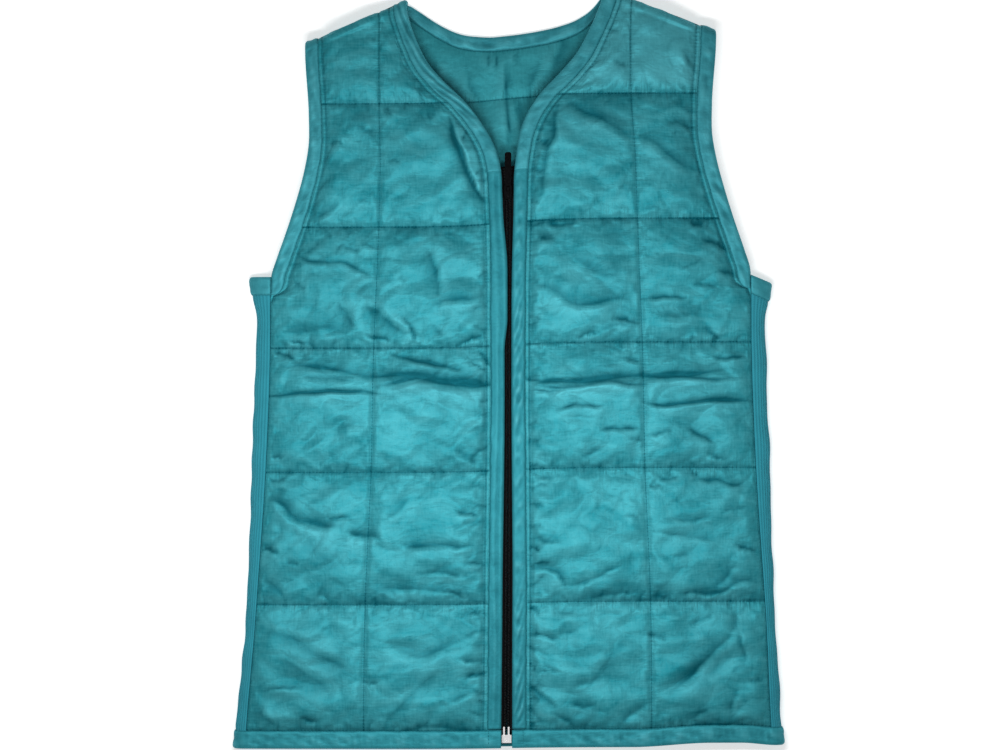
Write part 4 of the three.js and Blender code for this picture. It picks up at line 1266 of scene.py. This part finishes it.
def ring_of(count):
    turn = np.linspace(0, 2 * np.pi, count, endpoint=False)
    return np.stack([np.cos(turn), np.sin(turn)], -1)


def swept_faces(rings, count):
    """Faces of a closed section carried along rings, with an end face on each."""
    i = np.arange(rings * count).reshape(rings, count)
    after = np.roll(i, -1, 1)
    sides = np.stack([i[:-1], after[:-1], after[1:], i[1:]], -1).reshape(-1, 4).tolist()
    return sides + [i[0, ::-1].tolist(), i[-1].tolist()]


def black_cloth(name):
    """Black polyester tape in a fine twill with a dull shine."""
    material, tree, shader = surface(name)
    place = on_piece(tree)
    fade = speckle(tree, place, 120, 3)
    inputs = {
        "Base Color": blend(tree, fade, ZIP_BLACK, (0.004, 0.0045, 0.0055, 1)),
        "Roughness": spread(tree, fade, 0.55, 0.8),
        "Normal": relief(tree, slanted(tree, place, 420, 0.6), 0.3, 0.0002),
        "Specular IOR Level": 0.12,
    }
    feed(tree, shader, inputs)
    return material


def black_nylon(name):
    """Black nylon wire, drawn smooth, with a little wear on its top."""
    material, tree, shader = surface(name)
    wear = speckle(tree, on_piece(tree), 500, 2)
    inputs = {
        "Base Color": blend(tree, wear, ZIP_BLACK, (0.006, 0.0065, 0.008, 1)),
        "Roughness": spread(tree, wear, 0.3, 0.5),
        "Normal": relief(tree, wear, 0.15, 0.0001),
        "Specular IOR Level": 0.2,
    }
    feed(tree, shader, inputs)
    return material


tape_cloth = black_cloth("tape_cloth")
coil_nylon = black_nylon("coil_nylon")
coil_thread = thread_of("coil_thread", (0.02, 0.022, 0.025, 1), (0.006, 0.007, 0.008, 1))
for half, name in ((RIGHT, "right_zip"), (LEFT, "left_zip")):
    y = np.arange(TAPE_END, ZIP_HEAD + 0.1, (ZIP_HEAD - TAPE_END) / 160)
    section = np.array(TAPE_SECTION)
    rings = laid(half * (section[:, 0] + parted_at(y)[:, None]), y[:, None], section[:, 1])
    tape = add_mesh(name + "_tape_cloth", rings, swept_faces(len(y), len(section)), tape_cloth)
    sew_in(tape, name + "_tape")
    turns = np.arange(TEETH_END + (0.5 if half == LEFT else 1) * COIL_PITCH, ZIP_HEAD - 0.6, COIL_PITCH)
    long, high = (TEETH_HALF + COIL_OVERLAP) / 2 - WIRE_HALF, TEETH_HIGH / 2 - WIRE_HALF
    loop = ring_of(LOOP_STEPS)
    loop = np.sign(loop) * np.abs(loop) ** 0.75
    ahead = np.stack([loop[:, 0] * high, loop[:, 1] * long], -1)
    ahead = ahead / np.linalg.norm(ahead, axis=-1, keepdims=True)
    wire = WIRE_HALF * ring_of(WIRE_SIDES)
    x = (loop[:, 0] * long)[:, None] + ahead[:, :1] * wire[:, 0] + (TEETH_HALF - COIL_OVERLAP) / 2
    z = (loop[:, 1] * high)[:, None] + ahead[:, 1:] * wire[:, 0] + TEETH_TOP - TEETH_HIGH / 2
    y = turns[:, None, None] + COIL_LEAN * loop[:, :1] + wire[:, 1]
    coil = laid(half * (x + parted_at(turns)[:, None, None]), y, z)
    i = np.arange(x.size).reshape(x.shape)
    beside, after = np.roll(i, -1, 1), np.roll(i, -1, 0)
    quads = np.stack([i, beside, np.roll(beside, -1, 0), after], -1).reshape(-1, 4)
    faces = (np.arange(len(turns))[:, None, None] * x.size + quads).reshape(-1, 4).tolist()
    teeth = add_mesh(name + "_coil", coil, faces, coil_nylon)
    sew_in(teeth, name + "_teeth")
    y = np.linspace(TEETH_END + 3, ZIP_HEAD - 3, 200)
    row = laid(half * (COIL_THREAD + parted_at(y)), y, TEETH_TOP + 0.05)
    sewn(name + "_coil_thread", [(row, straight_up(len(y)))], coil_thread, 2.2)

# Front bands: a folded strip of the same cotton over each front's edge beside the zip, stitched near its
# inner edge. The wearer's left one twists into slanting folds.
BINDING_DEPTH = 10.6
RING_STEP = 1.6
# Distance in from a strip's stitched edge and height over the middle, and the round of its fold.
STRIP_EDGE = [(0.0, 1.2), (0.3, 1.4), (0.7, 1.65), (1.1, 1.9), (1.6, 2.1), (2.4, 2.25), (3.6, 2.35)]
STRIP_FOLD = [(1.6, 2.4), (0.6, 2.25), (-0.2, 1.85), (-0.85, 1.2), (-1.25, 0.4)]
STITCHED_AT = 1
TUCKED_RINGS = 3
binding_cloth = woven_cloth("binding_cloth", colour(68, 156, 168), colour(46, 128, 140))
band_cloth = woven_cloth("band_cloth", colour(50, 139, 151), colour(36, 115, 127))
strip_thread = thread_of("strip_thread", colour(36, 128, 140), colour(20, 100, 112))


def strip_section(depth):
    edge = [(depth - d, h) for d, h in STRIP_EDGE]
    flat = [(d, 2.4) for d in np.linspace(depth - 4.8, 2.8, 4)]
    top = np.array(edge + flat + STRIP_FOLD)
    bottom = top[::-1] * [1, -1]
    leg = HALF_MARGIN + GAP
    inside = np.array([(depth, -leg), (-GAP, -leg), (-GAP, leg), (depth, leg)])
    return np.concatenate([top, bottom, inside]), len(top)


def folded_strip(name, runs, depth, ripple, cloth=binding_cloth, tucked=False, spill=None):
    """A strip folded over an edge, with a line of stitches near its inner edge. Each run has a layer, its
    stations, and how u and v change per millimetre inward. A tucked one is pressed thinner at its far end,
    where it goes under the next strip, and one that spills is pushed out past its edge on part of its run."""
    section, top = strip_section(depth)
    d, h = section.T
    outer = np.arange(len(d)) < 2 * top
    bases, normals = [], []
    for (at, out), u, v, du, dv in runs:
        u, v, du, dv = (np.asarray(k, float)[:, None] for k in np.broadcast_arrays(u, v, du, dv))
        bases.append(at(u + du * d, v + dv * d))
        normals.append(out(u + du * d, v + dv * d))
    base, normal = np.concatenate(bases), np.concatenate(normals)
    run = run_along(base[:, top - 1])
    loose = np.sin(np.pi * np.clip((d + 1.6) / (depth + 0.4), 0, 1))
    if tucked:
        h = h - 0.25 * np.sign(h) * outer * smooth(run[-1] - 4.5, run[-1] - 3, run)[:, None]
    ends = smooth(0, 7, run) * smooth(0, 7, run[-1] - run)
    lift = ripple(run[:, None], d) * loose * outer * np.sign(h) * ends[:, None]
    inward = base[:, :1] - base[:, top - 1 : top]
    inward = inward / np.linalg.norm(inward, axis=-1, keepdims=True)
    wander = 0.16 * waves(run[:, None], 0 * d, 14, 7) + 0.1 * waves(run[:, None], 0 * d, 5, 8)
    pulled = wander * ends[:, None] * smooth(depth - 4, depth - 1, d) * outer
    rings = base + normal * (h + lift)[..., None] + inward * pulled[..., None]
    if spill:
        rings = rings - inward * (spill(run)[:, None] * smooth(depth, 1, d))[..., None]
    rings[..., 2] = np.maximum(rings[..., 2], 0.05)
    strip = add_mesh(name + "_cloth", rings, swept_faces(len(run), len(d)), cloth)
    note(strip, "weave", np.stack(np.broadcast_arrays(run[:, None], d * np.sign(h), 0 * lift), -1))
    # Painted shade along the stitched groove and in the ripples' hollows, and a painted highlight on their
    # tops.
    groove_shade = 0.45 * np.exp(-(((depth - d) / 0.9) ** 2))
    raised = lift * np.sign(h)
    strip_shade = groove_shade + np.clip(-0.7 * raised, 0, 0.5)
    note(strip, "deep", np.stack([strip_shade, np.clip(0.6 * raised, 0, 0.4), 0 * strip_shade], -1), 1)
    sew_in(strip, name)
    end = -TUCKED_RINGS if tucked else None
    line = rings[:end, STITCHED_AT], normal[:end, STITCHED_AT]
    sewn(name + "_stitches", [line], strip_thread)
    return rings, normal


def left_band_ripple(s, d):
    """Slanting folds with sharp valleys, like the lay of a rope."""
    uneven = s + 7 * np.sin(s / 31) + 4 * np.sin(s / 17) + 2 * np.sin(s / 7.3)
    rope = 2 * np.abs(np.sin(np.pi * (uneven - (2.3 + 0.9 * np.sin(s / 50)) * d) / 15)) - 1.3
    strong = (0.55 + 0.45 * np.sin(s / 43 + 1)) * (0.7 + 0.3 * np.sin(s / 13)) * smooth(-1, 5, d)
    return 0.75 * rope * strong + 0.15 * waves(s, 2 * d, 13, 75)


def right_band_ripple(s, d):
    """Long folds down the strip, and a few short tucks across it."""
    long_fold = np.cos(2 * np.pi * (d + 1.2 * np.sin(s / 37)) / 6.2)
    tuck = np.abs(np.sin(np.pi * (s + 5 * np.sin(s / 23) - 0.4 * d) / 27)) - 0.8
    return 0.28 * long_fold + 0.45 * tuck * (0.5 + 0.5 * np.sin(s / 61)) - 0.15


def right_band_spill(s):
    """The strip lies partly over the zip below the slider."""
    return 2.5 * smooth(318, 345, s) * smooth(434, 385, s)


def per_mm(v, spots):
    """Rows about a ring apart along a front's edge."""
    at, _ = spots
    run = run_along(at(np.zeros_like(v), v))
    count = int(run[-1] / RING_STEP)
    return np.interp(np.linspace(0, run[-1], count), run, v)


MARGIN_STEP = 1 / MARGIN
front_layers = {half: layer(front_point, half, 1) for half in (RIGHT, LEFT)}
back_layers = {half: layer(back_half(half), half, -1) for half in (RIGHT, LEFT)}
ZIP_TOP = 4.42
TUCKED = 0.03
for half, name in ((RIGHT, "right"), (LEFT, "left")):
    v = per_mm(np.linspace(0.006, ZIP_TOP + TUCKED, 400), front_layers[half])
    runs = [(front_layers[half], 0 * v, v, MARGIN_STEP, 0)]
    ripple, spill = (left_band_ripple, None) if half == LEFT else (right_band_ripple, right_band_spill)
    band = name + "_front_band"
    folded_strip(band, runs, BINDING_DEPTH, ripple, band_cloth, True, spill)

# Armhole and underarm bindings: the same folded strip up the front of each armhole, over the shoulder and
# down the back, and a short wider one over the top of the knit.
UNDERARM_DEPTH = 14.4
for half, name in ((RIGHT, "right"), (LEFT, "left")):
    up = np.linspace(UNDERARM - 0.012, 6.98, 190)
    down = np.linspace(6.9, UNDERARM - 0.012, 170)
    runs = [
        (front_layers[half], 6 + 0 * up, up, -MARGIN_STEP, 0),
        (back_layers[half], 4 + 0 * down, down, -MARGIN_STEP, 0),
    ]

    def armhole_ripple(s, d, half=half):
        return 0.22 * waves(s, 2 * d, 22, 71 + half) + 0.12 * waves(s, d, 9, 73 + half) - 0.1

    folded_strip(name + "_armhole_binding", runs, BINDING_DEPTH, armhole_ripple)
    a = np.linspace(0.0, 1.0, 30)
    runs = [(side_layers[half], a, SIDE_TOP[half] + 0 * a, 0, -1)]

    def tab_ripple(s, d, half=half):
        return 0.2 * waves(s, d, 14, 81 + half)

    folded_strip(name + "_underarm_binding", runs, UNDERARM_DEPTH, tab_ripple)

# Neck binding: one folded strip of the same cotton from the top of the zip up the wearer's right front,
# round the back of the neck and down the left front. It twists into long folds on the right front.
per_u = 2 / float(quilt_at(np.array(300.0)))


def neck_side(half):
    v = per_mm(np.linspace(ZIP_TOP, 6.98, 400), front_layers[half])
    over = np.linspace(6.8, 6.0, 5)
    u = np.linspace(NECK_U, 0, 54)[1:]
    reach = neck_at[half](u / per_u) - ROWS[5]
    aside = np.interp(u, [0, 1.3, 1.5, NECK_U], [0, 0, 0.6, 1]) * per_u
    down = -np.interp(u, [0, 1.3, 1.5, NECK_U], [1, 1, 0.8, 0]) / reach
    return [
        (front_layers[half], 0 * v, v, MARGIN_STEP + 0 * v, 0 * v),
        (back_layers[half], NECK_U + 0 * over, over, per_u + 0 * over, 0 * over),
        (back_layers[half], u, 6 + 0 * u, aside, down),
    ]


def backwards(run):
    spots, *columns = run
    return (spots, *(k[::-1] for k in columns))


right_side = neck_side(RIGHT)
left_side = [backwards(run) for run in neck_side(LEFT)[::-1]]
left_side[0] = (left_side[0][0], *(k[1:] for k in left_side[0][1:]))


def neck_ripple(s, d):
    twisted = smooth(30, 70, s) * smooth(185, 160, s)
    lengthwise = np.abs(np.sin(np.pi * (d - 0.14 * s + 1.5 * np.sin(s / 19)) / 5.5)) - 0.7
    return 0.25 * waves(s, 2 * d, 24, 91) + 1.5 * twisted * lengthwise + 0.12 * waves(s, d, 10, 93) - 0.1


folded_strip("neck_binding", right_side + left_side, BINDING_DEPTH, neck_ripple)

# Hem: one folded strip of the same cotton from the zip round both sides and the back to the zip again,
# stitched along its top edge through all the layers, which gathers it into small tucks.
HEM_DEPTH = 14.0
HEM_STEP = 1 / (ROWS[0] - HEM_EDGE)
hem_cloth = woven_cloth("hem_cloth", colour(55, 148, 160), colour(39, 122, 134))


def hem_side(half):
    u = np.concatenate([[-INSET / MARGIN], stations([0, 1, 2, 3, 4, 5, 6], [7, 2, 62, 56, 2, 3])])
    a = np.linspace(0.1, 0.9, 18)
    back_u = stations([4, 3, 2, 0], [3, 56, 76])[:-1]
    return [
        (front_layers[half], u, -1 + 0 * u, 0 * u, HEM_STEP + 0 * u),
        (side_layers[half], a, HEM_EDGE + 0 * a, 0 * a, 1 + 0 * a),
        (back_layers[half], back_u, -1 + 0 * back_u, 0 * back_u, HEM_STEP + 0 * back_u),
    ]


def hem_ripple(s, d):
    return 0.2 * waves(s, d * 0.7, 18, 95) + 0.16 * waves(s, d, 7, 97) - 0.1


centre = np.zeros(1)
middle_run = [(back_layers[LEFT], centre, centre - 1, centre, centre + HEM_STEP)]
runs = hem_side(RIGHT) + middle_run + [backwards(run) for run in hem_side(LEFT)[::-1]]
rings, normal = folded_strip("hem_band", runs, HEM_DEPTH, hem_ripple, hem_cloth)
# Both ends of the hem are stitched down beside the zip, this far from the middle.
HEM_ENDS = (-16.0, 13.4)
end_lines = []
for place in HEM_ENDS:
    k = int(np.argmin(np.abs(rings[:, 6, 0] - place) + 100 * (rings[:, 6, 2] < EDGE_HEIGHT)))
    end_lines.append((rings[k, 1:14], normal[k, 1:14]))
sewn("hem_end_stitches", end_lines, strip_thread)

# Slider, pull and bottom fitting: the slider and its pull are dark plated metal, and the box and pins at the
# foot are bright. The slider rides on both coils, the pull hangs on its bridge, and the box and pins are
# pressed onto the tapes' ends. They keep the shapes of the part, with their edges softened.
SOFT_EDGE = 0.22


def worn_metal(name, pale, deep, rough_from, rough_to):
    material, tree, shader = surface(name)
    wear = speckle(tree, on_piece(tree), 700, 4)
    inputs = {
        "Base Color": blend(tree, wear, deep, pale),
        "Roughness": spread(tree, wear, rough_from, rough_to),
        "Normal": relief(tree, wear, 0.12, 0.0001),
        "Metallic": 1.0,
    }
    feed(tree, shader, inputs)
    return material


dark_metal = worn_metal("dark_metal", (0.012, 0.0125, 0.0135, 1), (0.004, 0.004, 0.0045, 1), 0.2, 0.32)
bright_metal = worn_metal("bright_metal", (0.72, 0.72, 0.72, 1), (0.5, 0.5, 0.51, 1), 0.4, 0.6)
for name, metal in (
    ("zip_slider", dark_metal),
    ("zip_pull", dark_metal),
    ("zip_retainer", bright_metal),
    ("zip_insert_pin", bright_metal),
):
    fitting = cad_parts[name]
    fitting.data.materials.clear()
    fitting.data.materials.append(metal)
    soften = fitting.modifiers.new("soften", "BEVEL")
    soften.width = SOFT_EDGE * MM
    soften.segments = 3
    soften.limit_method = "ANGLE"
    soften.angle_limit = np.radians(30)

# Floor, light and camera: a plain pale floor that glows a little, a soft lamp over the vest, and a camera
# that looks straight down on it.
WHITE = (1, 1, 1, 1)
floor_material, tree, shader = surface("pale_floor")
glow = {"Emission Color": WHITE, "Emission Strength": 0.55}
feed(tree, shader, {"Base Color": (0.9, 0.9, 0.9, 1), "Roughness": 0.9, **glow})
bpy.ops.mesh.primitive_plane_add(size=6, location=(0, 0, -0.0005))
floor = bpy.context.object
floor.name = "floor"
floor.data.materials.append(floor_material)
floor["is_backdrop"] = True

world = bpy.data.worlds.new("studio")
bpy.context.scene.world = world
world.use_nodes = True
feed(world.node_tree, world.node_tree.nodes["Background"], {"Color": WHITE, "Strength": 0.25})

lamp = bpy.data.lights.new("overhead", "AREA")
lamp.shape = "RECTANGLE"
lamp.size = 0.5
lamp.size_y = 0.12
lamp.energy = 4.0
overhead = bpy.data.objects.new("overhead", lamp)
overhead.location = (-0.05, -0.06, 0.6)
overhead.visible_camera = False
bpy.context.scene.collection.objects.link(overhead)

# The picture's size, where the vest's middle lies in it, and what one of its pixels is on the floor.
PICTURE = (1000, 750)
VEST_MIDDLE = (508, 371.5)
PIXEL = 0.84 * MM
CAMERA_HEIGHT = 4.0
SENSOR = 36
camera = bpy.data.cameras.new("camera")
camera.sensor_width = SENSOR
camera.lens = SENSOR * CAMERA_HEIGHT / (PICTURE[0] * PIXEL)
eye = bpy.data.objects.new("camera", camera)
aside = (PICTURE[0] / 2 - VEST_MIDDLE[0]) * PIXEL
up = (VEST_MIDDLE[1] - PICTURE[1] / 2) * PIXEL + CENTRE_Y * MM
eye.location = (aside, up, CAMERA_HEIGHT + 0.02)
bpy.context.scene.collection.objects.link(eye)
bpy.context.scene.camera = eye
bpy.context.scene.view_settings.view_transform = "Standard"

# The two boxes, of the part and of what is drawn.
low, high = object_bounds()
{"cad": [list(cad_low), list(cad_high)], "visual": [list(low), list(high)]}
